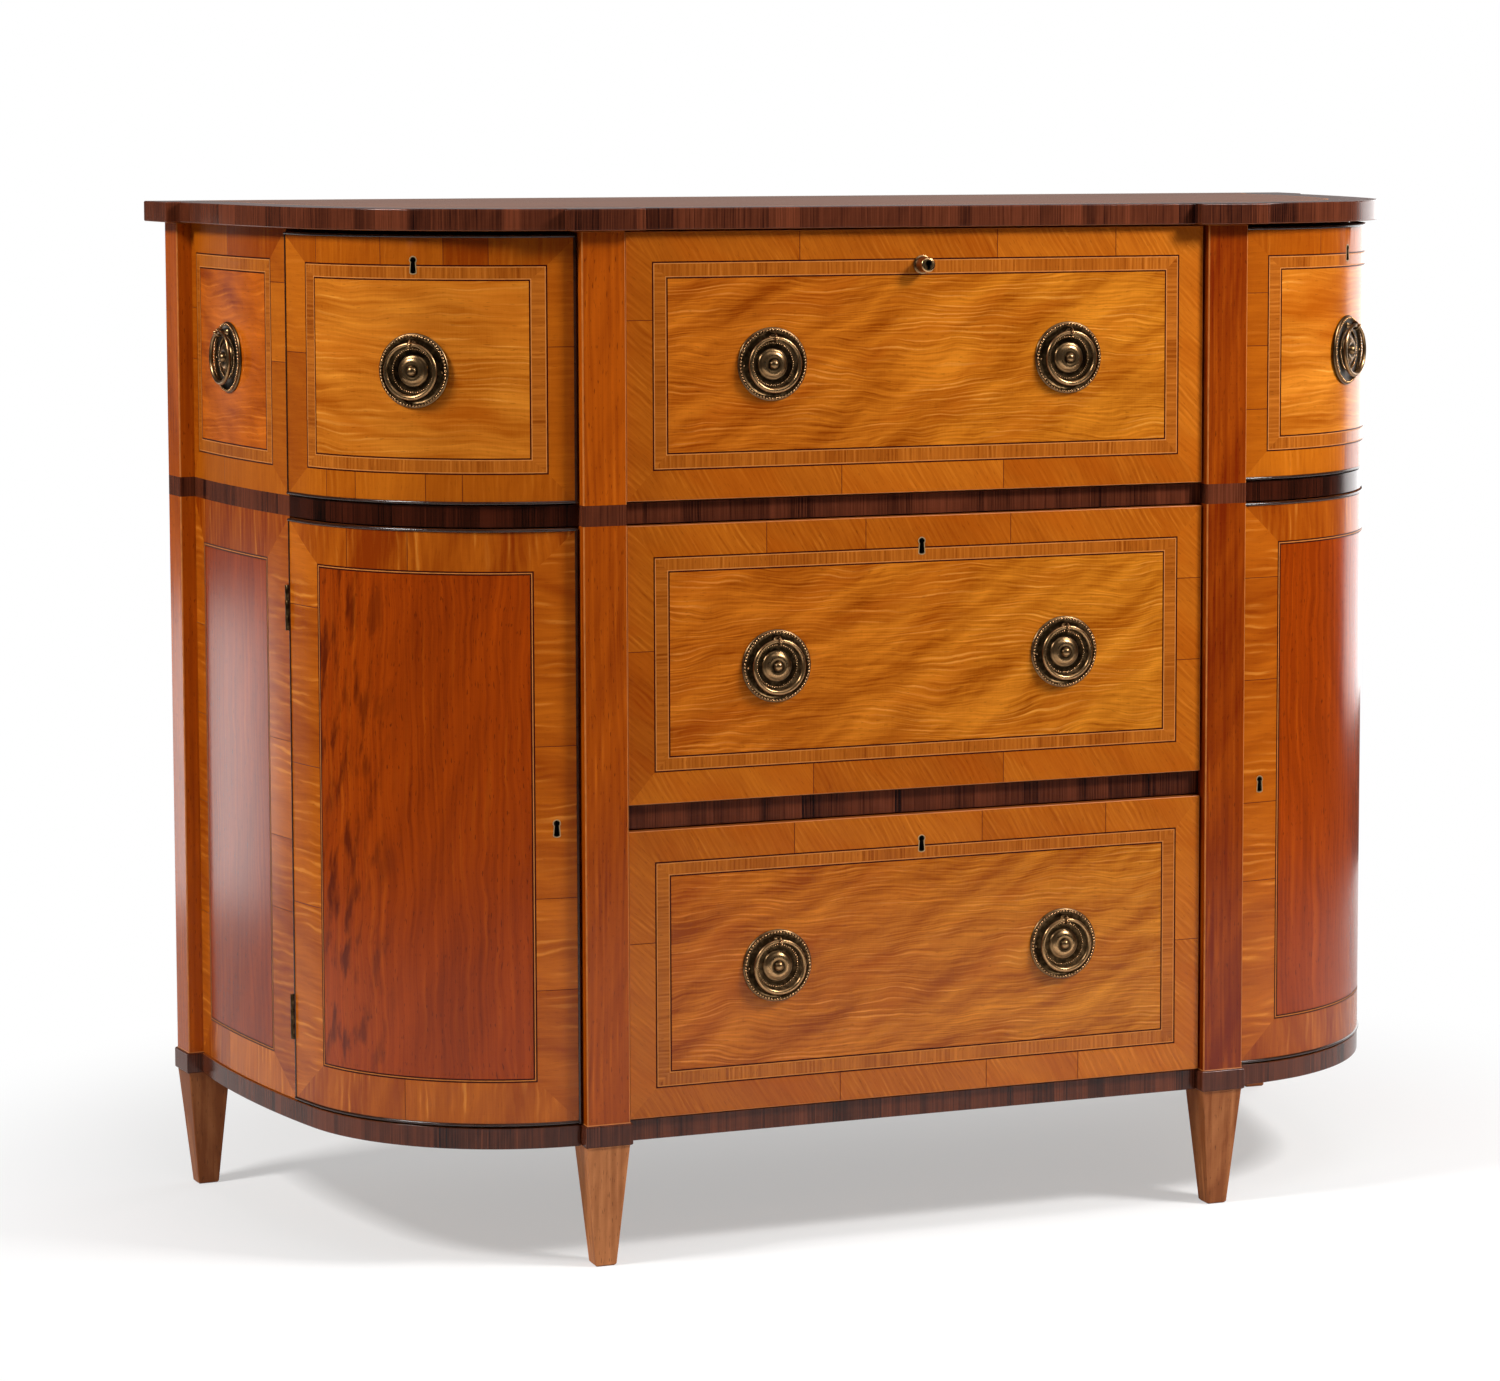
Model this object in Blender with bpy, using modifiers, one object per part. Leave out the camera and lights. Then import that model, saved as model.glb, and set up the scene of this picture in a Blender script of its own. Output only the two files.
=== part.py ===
"""A bow-ended secretary cabinet of about 1790: three drawers between square stiles, the top one a
secretaire with a falling front, and at each end a curved drawer over a curved cupboard door.

Metres, +Z up, +X to the viewer's right, the front faces -Y. The origin is at the centre of the
bounding box, on the floor. In the plan helpers a depth is measured back from the stiles' front.
"""

import math

import bmesh
import bpy
from mathutils import Matrix, Vector

# Overall sizes
HEIGHT = 0.890
TOP_THICKNESS = 0.018
TOP_OVERHANG = 0.0137
BACK_OVERHANG = 0.015

# Plan of the body: stile, tight corner arc, long flank arc, rear post
STILE_SIZE = 0.038
STILE_CENTRE_X = 0.2862
WALL_SETBACK = 0.0126
CORNER_RADIUS = 0.199
CORNER_TURN = math.radians(75.3)
FLANK_RADIUS = 1.181
FLANK_LENGTH = 0.2533
POST_STEP = 0.0135
POST_DEPTH = 0.032
POST_WIDTH = 0.038
POST_SPLAY = math.radians(6)
JOINT_LENGTH = 0.292
WALL_STEP = 0.016

# Heights
FOOT_HEIGHT = 0.105
FOOT_TIP = 0.019
FOOT_BEVEL = 0.0015
BASE_HEIGHT = 0.018
UPPER_OPENING = 0.227
DRAWER_GRADUATION = 0.010
UPPER_RAIL_HEIGHT = 0.0175
LOWER_RAIL_HEIGHT = 0.0195

# Boards
SIDE_THICKNESS = 0.018
PARTITION_THICKNESS = 0.018
BACK_THICKNESS = 0.012
BAND_THICKNESS = 0.003
BAND_PROUD = 0.002
COLLAR_PROUD = 0.002
CENTRE_RAIL_DEPTH = 0.014
CENTRE_BAND_DEPTH = 0.012
SHELF_THICKNESS = 0.012
SHELF_BOTTOM = 0.366
SHELF_SETBACK = 0.045
SHELF_SIDE_STEP = 0.004

# Drawers and doors
FACE_DEPTH = 0.007
FRONT_THICKNESS = 0.020
CURVED_PROUD = 0.002
DRAWER_GAP = 0.0013
CURVED_TOP_GAP = 0.005
CURVED_END_GAP = 0.0012
SLIDE_CLEARANCE = 0.002
BOX_WALL = 0.012
BOX_FLOOR = 0.008
BOX_HEADROOM = 0.014
BACK_CLEARANCE = 0.012
GUIDE_HEIGHT = 0.015
DOOR_THICKNESS = 0.018
DOOR_GAP = 0.0015
TRAY_HEADROOM = 0.016

# Pigeonholes
PIGEON_DEPTH = 0.160
PIGEON_WALL = 0.007
PIGEON_LOW_HEIGHT = 0.050
PIGEON_UPPER_CELLS = 6
PIGEON_LOWER_CELLS = 3
ARCH_STEPS = 8

# Door hinges
HINGE_GAP = 0.0016
HINGE_LEAF = 0.001
HINGE_LEAF_DEPTH = 0.014
HINGE_HEIGHT = 0.039
HINGE_RADIUS = 0.003
HINGE_STANDOFF = 0.0036
HINGE_CLEARANCE = 0.0005
HINGE_INSET_TOP = 0.057
HINGE_INSET_BOTTOM = 0.0525
HINGE_SIDES = 12

# Handles
PLATE_RADIUS = 0.031
PLATE_STEPS = 20
KNOB_HEIGHT = 0.0085
RING_RADIUS = 0.022
RING_WIRE = 0.002
RING_STAND = 0.0078
RING_STEPS = 24
RING_SIDES = 6
EYE_CLEARANCE = 0.0005
EYE_WALL = 0.0014
EYE_WIDTH = 0.0032
EYE_SIDES = 12
EYE_STEM = 0.0013
SECRETAIRE_HANDLE_X = 0.136
DRAWER_HANDLE_X = 0.133
MIDDLE_HANDLE_DROP = 0.0055
CURVED_HANDLE_LENGTH = 0.1365
SIDE_HANDLE_OFFSET = 0.011

# Locks
KEYHOLE_RADIUS = 0.0026
KEYHOLE_WAIST = 0.0036
KEYHOLE_FOOT = 0.0050
KEYHOLE_HEIGHT = 0.0138
KEYHOLE_DEPTH = 0.012
KEYHOLE_SIDES = 10
KEYHOLE_FOOT_SIDES = 4
DRAWER_KEYHOLE_INSET = 0.026
CURVED_KEYHOLE_INSET = 0.0235
DOOR_KEYHOLE_INSET = 0.021
LOCK_RADIUS = 0.0065
LOCK_COLLAR = 0.0015
LOCK_LENGTH = 0.015
LOCK_CHAMFER = 0.0012
LOCK_INSET = 0.0305
LOCK_STEPS = 16
LOCK_KEYHOLE_WAIST = 0.0026
LOCK_KEYHOLE_FOOT = 0.0028
LOCK_KEYHOLE_HEIGHT = 0.0078

# Making
GAP = 0.0003
OVERRUN = 0.010
WELD = 0.00001
SHARP_ANGLE = math.radians(35)
HALVINGS = 40

# A handle plate's profile, as shares of its radius and of the knob's height
PLATE_PROFILE_SHARES = (
    (0, 1),
    (0.1, 0.95),
    (0.142, 0.8),
    (0.09, 0.52),
    (0.25, 0.44),
    (0.43, 0.25),
    (0.55, 0.29),
    (0.62, 0.17),
    (0.86, 0.16),
    (0.93, 0.34),
    (1, 0.19),
    (1, 0),
    (0, 0),
)

# Colour, roughness and metallic value of each finish
FINISHES = {
    "rosewood": ((0.10, 0.028, 0.016), 0.35, 0.0),
    "satinwood": ((0.60, 0.24, 0.045), 0.32, 0.0),
    "stile_wood": ((0.46, 0.13, 0.028), 0.34, 0.0),
    "door_wood": ((0.38, 0.10, 0.022), 0.32, 0.0),
    "carcase_wood": ((0.40, 0.25, 0.13), 0.65, 0.0),
    "brass": ((0.38, 0.27, 0.11), 0.38, 1.0),
}

# Lengths that follow from the sizes above
CORNER_LENGTH = CORNER_RADIUS * CORNER_TURN
WALL_LENGTH = CORNER_LENGTH + FLANK_LENGTH
SIDE_HANDLE_LENGTH = (JOINT_LENGTH + WALL_LENGTH) / 2 + SIDE_HANDLE_OFFSET
STILE_HALF = STILE_SIZE / 2
STILE_INNER = STILE_CENTRE_X - STILE_HALF
STILE_OUTER = STILE_CENTRE_X + STILE_HALF
PARTITION_OUTER = STILE_INNER + PARTITION_THICKNESS
TOP_UNDER = HEIGHT - TOP_THICKNESS
BASE_TOP = FOOT_HEIGHT + BASE_HEIGHT
UPPER_RAIL_TOP = TOP_UNDER - UPPER_OPENING
UPPER_RAIL_BOTTOM = UPPER_RAIL_TOP - UPPER_RAIL_HEIGHT
LOWER_OPENINGS = UPPER_RAIL_BOTTOM - LOWER_RAIL_HEIGHT - BASE_TOP
LOWER_RAIL_TOP = UPPER_RAIL_BOTTOM - (LOWER_OPENINGS - DRAWER_GRADUATION) / 2
LOWER_RAIL_BOTTOM = LOWER_RAIL_TOP - LOWER_RAIL_HEIGHT
FRONT_HALF = STILE_INNER - SLIDE_CLEARANCE
FALL_BOTTOM = UPPER_RAIL_TOP + DRAWER_GAP
FALL_TOP = TOP_UNDER - DRAWER_GAP
WRITING_HEIGHT = FALL_BOTTOM + FRONT_THICKNESS
TRAY_TOP = TOP_UNDER - TRAY_HEADROOM
DOOR_BOTTOM = BASE_TOP + DOOR_GAP
DOOR_TOP = UPPER_RAIL_BOTTOM - DOOR_GAP
SIDES = {"left": -1, "right": 1}


def wall_normal(length):
    """Outward direction of the curved wall at this length along it from the stile."""
    if length <= CORNER_LENGTH:
        angle = length / CORNER_RADIUS
    else:
        angle = CORNER_TURN + (length - CORNER_LENGTH) / FLANK_RADIUS
    return Vector((math.sin(angle), -math.cos(angle)))


def wall_depth_point(length, offset=0.0):
    """Point of the curved wall as (x, depth), this far outside its face."""
    centre = Vector((STILE_OUTER, WALL_SETBACK + CORNER_RADIUS))
    radius = CORNER_RADIUS
    if length > CORNER_LENGTH:
        centre += (CORNER_RADIUS - FLANK_RADIUS) * wall_normal(CORNER_LENGTH)
        radius = FLANK_RADIUS
    return centre + (radius + offset) * wall_normal(length)


POST_OUT = Vector((math.cos(POST_SPLAY), -math.sin(POST_SPLAY)))
POST_BACKWARD = Vector((math.sin(POST_SPLAY), math.cos(POST_SPLAY)))
POST_FRONT_DEPTH = wall_depth_point(WALL_LENGTH, POST_STEP).y
BODY_DEPTH = POST_FRONT_DEPTH + POST_DEPTH * POST_BACKWARD.y
DEPTH = TOP_OVERHANG + BODY_DEPTH + BACK_OVERHANG
STILE_FRONT = TOP_OVERHANG - DEPTH / 2
BODY_BACK = STILE_FRONT + BODY_DEPTH
BACK_INSIDE = BODY_BACK - BACK_THICKNESS
BOX_BACK = BACK_INSIDE - BACK_CLEARANCE
FACE = STILE_FRONT + FACE_DEPTH
BOX_FRONT = FACE + FRONT_THICKNESS + GAP
STILE_BACK = STILE_FRONT + STILE_SIZE


def wall(length, offset=0.0):
    """The same point of the curved wall as (x, y)."""
    return wall_depth_point(length, offset) + Vector((0, STILE_FRONT))


def wall_run(first, last, offset):
    """Points along the wall between two lengths, on one grid so that neighbours have like facets."""
    inner = range(math.floor(first / WALL_STEP) + 1, math.ceil(last / WALL_STEP))
    lengths = [first] + [count * WALL_STEP for count in inner] + [last]
    return [wall(length, offset) for length in lengths]


def length_at(x, offset):
    """Length along the wall where a line this far outside it reaches x."""
    low, high = 0.0, WALL_LENGTH
    for _ in range(HALVINGS):
        middle = (low + high) / 2
        if wall(middle, offset).x < x:
            low = middle
        else:
            high = middle
    return (low + high) / 2


POST_CORNER = wall(WALL_LENGTH, POST_STEP)
POST_INNER = (POST_CORNER - POST_WIDTH * wall_normal(WALL_LENGTH)).x


def clear_scene():
    for obj in list(bpy.data.objects):
        bpy.data.objects.remove(obj)


def new_collection(name):
    collection = bpy.data.collections.new(name)
    bpy.context.scene.collection.children.link(collection)
    return collection


def finish_material(name):
    """One Principled material of this finish, made anew for each piece."""
    colour, roughness, metallic = FINISHES[name]
    material = bpy.data.materials.new(name)
    material.use_nodes = True
    shader = material.node_tree.nodes["Principled BSDF"]
    shader.inputs["Base Color"].default_value = (*colour, 1.0)
    shader.inputs["Roughness"].default_value = roughness
    shader.inputs["Metallic"].default_value = metallic
    return material


def add(name, mesh, finish, place=None):
    """Puts a mesh in the scene as a named piece, or as a cutter where it has no finish."""
    piece = bpy.data.objects.new(name, mesh)
    piece.matrix_world = place or Matrix()
    if finish:
        PIECES.objects.link(piece)
        if not mesh.materials:
            mesh.materials.append(None)
        piece.material_slots[0].link = "OBJECT"
        piece.material_slots[0].material = finish_material(finish)
    else:
        CUTTERS.objects.link(piece)
        piece.hide_render = True
        piece.display_type = "WIRE"
    return piece


def shade_round(mesh):
    mesh.shade_smooth()
    mesh.set_sharp_from_angle(angle=SHARP_ANGLE)


def closed_mesh(guide):
    """The finished mesh of a curve or of an object with modifiers, closed, with faces outwards."""
    if guide.name not in CUTTERS.objects:
        CUTTERS.objects.link(guide)
    bpy.context.view_layer.update()
    graph = bpy.context.evaluated_depsgraph_get()
    mesh = bpy.data.meshes.new_from_object(guide.evaluated_get(graph))
    form = bmesh.new()
    form.from_mesh(mesh)
    bmesh.ops.remove_doubles(form, verts=form.verts, dist=WELD)
    bmesh.ops.recalc_face_normals(form, faces=form.faces)
    form.to_mesh(mesh)
    form.free()
    bpy.data.objects.remove(guide)
    return mesh


def flat_mesh(outline, thickness):
    """A plate with this outline in X and Y, half its thickness above and below."""
    curve = bpy.data.curves.new("outline", "CURVE")
    curve.dimensions = "2D"
    curve.fill_mode = "BOTH"
    curve.extrude = thickness / 2
    spline = curve.splines.new("POLY")
    spline.points.add(len(outline) - 1)
    for point, (x, y) in zip(spline.points, outline):
        point.co = (x, y, 0, 1)
    spline.use_cyclic_u = True
    return closed_mesh(bpy.data.objects.new("outline", curve))


def board(name, outline, bottom, top, finish):
    """A level board with this plan, between two heights."""
    place = Matrix.Translation((0, 0, (bottom + top) / 2))
    return add(name, flat_mesh(outline, top - bottom), finish, place)


def box(name, low, high, finish):
    low, high = Vector(low), Vector(high)
    form = bmesh.new()
    bmesh.ops.create_cube(form, size=1, matrix=Matrix.Diagonal((*(high - low), 1)))
    mesh = bpy.data.meshes.new(name)
    form.to_mesh(mesh)
    form.free()
    return add(name, mesh, finish, Matrix.Translation((low + high) / 2))


def rod_mesh(radius, length, sides):
    """A cylinder along Z, centred on the origin."""
    form = bmesh.new()
    bmesh.ops.create_cone(
        form, cap_ends=True, segments=sides, radius1=radius, radius2=radius, depth=length
    )
    mesh = bpy.data.meshes.new("rod")
    form.to_mesh(mesh)
    form.free()
    return mesh


def turned_mesh(profile, steps):
    """A shape turned about Z from a profile of (radius, height) that runs from top to bottom."""
    mesh = bpy.data.meshes.new("profile")
    points = [(radius, 0, height) for radius, height in profile]
    mesh.from_pydata(points, [(i, i + 1) for i in range(len(points) - 1)], [])
    guide = bpy.data.objects.new("profile", mesh)
    screw = guide.modifiers.new("turn", "SCREW")
    screw.steps = steps
    screw.render_steps = steps
    screw.use_merge_vertices = True
    screw.merge_threshold = WELD
    return closed_mesh(guide)


def combine(piece, other, operation):
    change = piece.modifiers.new(other.name, "BOOLEAN")
    change.operation = operation
    change.solver = "EXACT"
    change.object = other


def cut(piece, cutter):
    combine(piece, cutter, "DIFFERENCE")


def mirrored(points, side):
    """These plan points on the right (1) or mirrored to the left (-1), in the same turn."""
    placed = [(side * x, y) for x, y in points]
    return placed if side > 0 else placed[::-1]


def whole(half):
    """A full plan from its right half, which runs from the front centre round to the back."""
    return list(map(tuple, half)) + mirrored(half, -1)


def curved_slab(name, side, lengths, offsets, heights, finish):
    """A slab bent to the wall, between two lengths, two offsets and two heights."""
    outline = wall_run(*lengths, offsets[1]) + wall_run(*lengths, offsets[0])[::-1]
    return board(name, mirrored(outline, side), *heights, finish)


def square_post(name, corners, levels, finish):
    """A post lofted from this plan through levels of (height, share of the plan's size)."""
    centre = sum(corners, Vector((0, 0))) / len(corners)
    form = bmesh.new()
    rings = []
    for height, share in levels:
        plan = [centre + (corner - centre) * share for corner in corners]
        rings.append([form.verts.new((*point, height)) for point in plan])
    for low, high in zip(rings, rings[1:]):
        for here in range(len(corners)):
            after = (here + 1) % len(corners)
            form.faces.new((low[here], low[after], high[after], high[here]))
    form.faces.new(rings[0][::-1])
    form.faces.new(rings[-1])
    bmesh.ops.recalc_face_normals(form, faces=form.faces)
    mesh = bpy.data.meshes.new(name)
    form.to_mesh(mesh)
    form.free()
    return add(name, mesh, finish)


def joint_empty(name, place):
    """An empty on a joint's axis, which the pieces of the moving body hang from."""
    empty = bpy.data.objects.new(name, None)
    empty.location = place
    PIECES.objects.link(empty)
    return empty


def carry(empty, *pieces):
    for piece in pieces:
        piece.parent = empty
        piece.matrix_parent_inverse = Matrix.Translation(empty.location).inverted()


# Carcase


def top_half():
    """Right half of the top: it breaks out over the stile and eases out over the rear post."""
    reach = STILE_HALF + TOP_OVERHANG
    recess = wall(0, TOP_OVERHANG).y
    front = STILE_FRONT - TOP_OVERHANG
    left, right = STILE_CENTRE_X - reach, STILE_CENTRE_X + reach
    first = length_at(right, TOP_OVERHANG)
    ear = POST_CORNER + TOP_OVERHANG * (POST_OUT - POST_BACKWARD)
    back = BODY_BACK + BACK_OVERHANG
    ear_back = ear + POST_BACKWARD * ((back - ear.y) / POST_BACKWARD.y)
    run = wall_run(first, WALL_LENGTH - TOP_OVERHANG, TOP_OVERHANG)
    return [(left, recess), (left, front), (right, front), *run, ear, ear_back]


def post_corners():
    """Plan of the right rear post, whose outer face splays outwards to the back."""
    back = POST_CORNER + POST_DEPTH * POST_BACKWARD
    front_inner = POST_CORNER - POST_WIDTH * wall_normal(WALL_LENGTH)
    return [POST_CORNER, back, Vector((POST_INNER, back.y)), front_inner]


def post_levels():
    """Height and share of size up a post: tapered foot, collar at the base band, plain shaft."""
    tip = FOOT_TIP / STILE_SIZE
    worn_tip = (FOOT_TIP - 2 * FOOT_BEVEL) / STILE_SIZE
    collar = (STILE_SIZE + 2 * COLLAR_PROUD) / STILE_SIZE
    return [
        (0, worn_tip),
        (FOOT_BEVEL, tip),
        (FOOT_HEIGHT, 1),
        (FOOT_HEIGHT, collar),
        (BASE_TOP, collar),
        (BASE_TOP, 1),
        (TOP_UNDER - GAP, 1),
    ]


def make_posts(name, side):
    centre = Vector((side * STILE_CENTRE_X, STILE_FRONT + STILE_HALF))
    turns = ((1, 1), (-1, 1), (-1, -1), (1, -1))
    square = [centre + STILE_HALF * Vector(turn) for turn in turns]
    square_post(f"front_stile_{name}", square, post_levels(), "stile_wood")
    rear = [Vector(corner) for corner in mirrored(post_corners(), side)]
    square_post(f"rear_post_{name}", rear, post_levels(), "stile_wood")


def bottom_half():
    """Right half of the bottom board, notched round the collars of the stile and the post."""
    room = STILE_HALF + COLLAR_PROUD + GAP
    front = STILE_FRONT + CENTRE_BAND_DEPTH + BAND_THICKNESS + GAP
    behind = STILE_BACK + COLLAR_PROUD + GAP
    edge = BAND_PROUD - BAND_THICKNESS - GAP
    left, right = STILE_CENTRE_X - room, STILE_CENTRE_X + room
    last = WALL_LENGTH - COLLAR_PROUD - GAP
    run = wall_run(length_at(right, edge), last, edge)
    post_side = POST_STEP - POST_WIDTH - COLLAR_PROUD - GAP
    corner = wall(last, post_side)
    return [
        (left, front),
        (left, behind),
        (run[0].x, behind),
        *run,
        corner,
        (POST_INNER - COLLAR_PROUD - GAP, BACK_INSIDE - GAP),
    ]


def bay_end(offset_first):
    """Plan points from the side panel's inner face round the rear post to the back panel."""
    last = WALL_LENGTH - GAP
    run = wall_run(offset_first, last, -SIDE_THICKNESS - GAP)
    post_side = wall(last, POST_STEP - POST_WIDTH - GAP)
    return [*run, post_side, (POST_INNER - GAP, BACK_INSIDE - GAP)]


def divider_outline():
    """Plan of the board between a curved drawer and its cupboard, its front edge in the wall."""
    inner = PARTITION_OUTER + GAP
    front = wall_run(GAP, JOINT_LENGTH - GAP, 0)
    return [
        (inner, BACK_INSIDE - GAP),
        (inner, STILE_BACK + GAP),
        (STILE_OUTER + GAP, STILE_BACK + GAP),
        *front,
        *bay_end(JOINT_LENGTH - GAP),
    ]


def shelf_outline():
    inner = PARTITION_OUTER + GAP
    step = JOINT_LENGTH + SHELF_SIDE_STEP
    front = wall_run(0, step, -SHELF_SETBACK)
    return [(inner, BACK_INSIDE - GAP), (inner, front[0].y), *front, *bay_end(step)]


def make_base(side_name, side):
    """The crossbanded strip round the bottom board's curved edge."""
    margin = COLLAR_PROUD + GAP
    curved_slab(
        f"base_band_{side_name}",
        side,
        (margin, WALL_LENGTH - margin),
        (BAND_PROUD - BAND_THICKNESS, BAND_PROUD),
        (FOOT_HEIGHT, BASE_TOP),
        "rosewood",
    )


def make_bay(side_name, side):
    """The boards of one curved end."""
    curved_slab(
        f"side_panel_{side_name}",
        side,
        (JOINT_LENGTH, WALL_LENGTH - GAP),
        (-SIDE_THICKNESS, 0),
        (BASE_TOP + GAP, TOP_UNDER - GAP),
        "door_wood",
    )
    edges = sorted((side * STILE_INNER, side * PARTITION_OUTER))
    box(
        f"partition_{side_name}",
        (edges[0], STILE_BACK + GAP, BASE_TOP + GAP),
        (edges[1], BACK_INSIDE - GAP, TOP_UNDER - GAP),
        "carcase_wood",
    )
    divider = mirrored(divider_outline(), side)
    board(f"side_divider_{side_name}", divider, UPPER_RAIL_BOTTOM, UPPER_RAIL_TOP, "rosewood")
    shelf = mirrored(shelf_outline(), side)
    shelf_top = SHELF_BOTTOM + SHELF_THICKNESS
    board(f"shelf_{side_name}", shelf, SHELF_BOTTOM, shelf_top, "carcase_wood")
    edges = sorted((side * (PARTITION_OUTER + GAP), side * STILE_OUTER))
    box(
        f"drawer_guide_{side_name}",
        (edges[0], STILE_BACK + GAP, UPPER_RAIL_TOP + GAP),
        (edges[1], BOX_BACK, UPPER_RAIL_TOP + GUIDE_HEIGHT),
        "carcase_wood",
    )


def make_centre_boards():
    reach = STILE_INNER - GAP
    for name, bottom, top in (
        ("centre_divider_upper", UPPER_RAIL_BOTTOM, UPPER_RAIL_TOP),
        ("centre_divider_lower", LOWER_RAIL_BOTTOM, LOWER_RAIL_TOP),
    ):
        front = STILE_FRONT + CENTRE_RAIL_DEPTH
        box(name, (-reach, front, bottom), (reach, BACK_INSIDE - GAP, top), "rosewood")
    reach = STILE_INNER - COLLAR_PROUD - GAP
    front = STILE_FRONT + CENTRE_BAND_DEPTH
    back = front + BAND_THICKNESS
    box("base_band_centre", (-reach, front, FOOT_HEIGHT), (reach, back, BASE_TOP), "rosewood")


def make_carcase():
    board("top_board", whole(top_half()), TOP_UNDER, HEIGHT, "rosewood")
    board("bottom_board", whole(bottom_half()), FOOT_HEIGHT, BASE_TOP, "carcase_wood")
    reach = POST_INNER - COLLAR_PROUD - GAP
    box(
        "back_panel",
        (-reach, BACK_INSIDE, FOOT_HEIGHT),
        (reach, BODY_BACK, TOP_UNDER - GAP),
        "carcase_wood",
    )
    make_centre_boards()
    for side_name, side in SIDES.items():
        make_posts(side_name, side)
        make_base(side_name, side)
        make_bay(side_name, side)


# Keyholes


def keyhole_cutter(name, place, waist=KEYHOLE_WAIST, foot=KEYHOLE_FOOT, height=KEYHOLE_HEIGHT):
    """A keyhole's opening, sunk into the face at the placing of its middle, whose -Y points out of it."""
    centre = height / 2 - KEYHOLE_RADIUS
    first = math.asin(waist / 2 / KEYHOLE_RADIUS) - math.pi / 2
    sweep = 2 * math.pi + 2 * (-math.pi / 2 - first)
    turns = [first + sweep * step / KEYHOLE_SIDES for step in range(KEYHOLE_SIDES + 1)]
    outline = [
        (KEYHOLE_RADIUS * math.cos(turn), centre + KEYHOLE_RADIUS * math.sin(turn)) for turn in turns
    ]
    for step in range(KEYHOLE_FOOT_SIDES + 1):
        turn = math.pi * step / KEYHOLE_FOOT_SIDES
        rise = foot / 4 * (1 - math.sin(turn))
        outline.append((-foot / 2 * math.cos(turn), rise - height / 2))
    mesh = flat_mesh(outline, KEYHOLE_DEPTH + OVERRUN)
    mesh.transform(Matrix.Rotation(math.pi / 2, 4, "X"))
    mesh.transform(Matrix.Translation((0, (KEYHOLE_DEPTH - OVERRUN) / 2, 0)))
    return add(name, mesh, None, place)


def on_wall(side, length, offset, height):
    """Placing on the curved wall, with -Y pointing straight out of it."""
    point = wall(length, offset)
    normal = wall_normal(length)
    turn = side * math.atan2(normal.x, -normal.y)
    place = Matrix.Translation((side * point.x, point.y, height))
    return place @ Matrix.Rotation(turn, 4, "Z")


def on_front(x, height):
    """Placing on the flat face of the centre drawers."""
    return Matrix.Translation((x, FACE, height))


# Handles


def ring_mesh():
    """A wire ring in X and Z that hangs from the origin, on the axis of its eye."""
    curve = bpy.data.curves.new("ring", "CURVE")
    curve.dimensions = "3D"
    curve.bevel_depth = RING_WIRE
    curve.bevel_resolution = RING_SIDES // 2 - 2
    spline = curve.splines.new("POLY")
    spline.points.add(RING_STEPS - 1)
    for step, point in enumerate(spline.points):
        turn = 2 * math.pi * step / RING_STEPS
        x, z = RING_RADIUS * math.sin(turn), RING_RADIUS * (math.cos(turn) - 1)
        point.co = (x, 0, z, 1)
    spline.use_cyclic_u = True
    mesh = closed_mesh(bpy.data.objects.new("ring", curve))
    shade_round(mesh)
    return mesh


def plate_mesh():
    """A round stamped plate that faces -Y: knob, dome, two raised rings and the ring's eye."""
    profile = [(r * PLATE_RADIUS, h * KNOB_HEIGHT) for r, h in PLATE_PROFILE_SHARES]
    plate = bpy.data.objects.new("plate", turned_mesh(profile, PLATE_STEPS))
    across = Matrix.Translation((0, RING_RADIUS, RING_STAND)) @ Matrix.Rotation(math.pi / 2, 4, "Y")
    hole = RING_WIRE + EYE_CLEARANCE
    eye = add("eye", rod_mesh(hole + EYE_WALL, EYE_WIDTH, EYE_SIDES), None, across)
    bore = add("eye_hole", rod_mesh(hole, EYE_WIDTH + 2 * OVERRUN, EYE_SIDES), None, across)
    cut(eye, bore)
    stem_length = RING_STAND - hole - EYE_WALL / 2 - GAP
    foot = Matrix.Translation((0, RING_RADIUS, GAP + stem_length / 2))
    stem = add("eye_stem", rod_mesh(EYE_STEM, stem_length, EYE_SIDES), None, foot)
    combine(plate, eye, "UNION")
    combine(plate, stem, "UNION")
    mesh = closed_mesh(plate)
    mesh.transform(Matrix.Rotation(math.pi / 2, 4, "X"))
    shade_round(mesh)
    return mesh


def handle(name, place, meshes):
    """A backplate and its hanging ring on the face at this placing."""
    plate, ring = meshes
    face = place @ Matrix.Translation((0, -GAP, 0))
    axis = face @ Matrix.Translation((0, -RING_STAND, RING_RADIUS))
    return add(f"plate_{name}", plate, "brass", face), add(f"ring_{name}", ring, "brass", axis)


def add_handles(places, meshes, empty=None):
    """A handle at each of these named placings, carried by a moving body's empty."""
    for name, place in places.items():
        pieces = handle(name, place, meshes)
        if empty:
            carry(empty, *pieces)


def handle_pair(name, reach, height):
    """Placings of two handles at mirrored places on the flat fronts."""
    return {f"{name}_{side}": on_front(turn * reach, height) for side, turn in SIDES.items()}


# Centre drawers


def make_flat_front(name, bottom, top, keyhole):
    low = (-FRONT_HALF, FACE, bottom)
    front = box(name, low, (FRONT_HALF, FACE + FRONT_THICKNESS, top), "satinwood")
    if keyhole:
        cut(front, keyhole_cutter(f"{name}_keyhole", on_front(0, top - DRAWER_KEYHOLE_INSET)))
    return front


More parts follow.
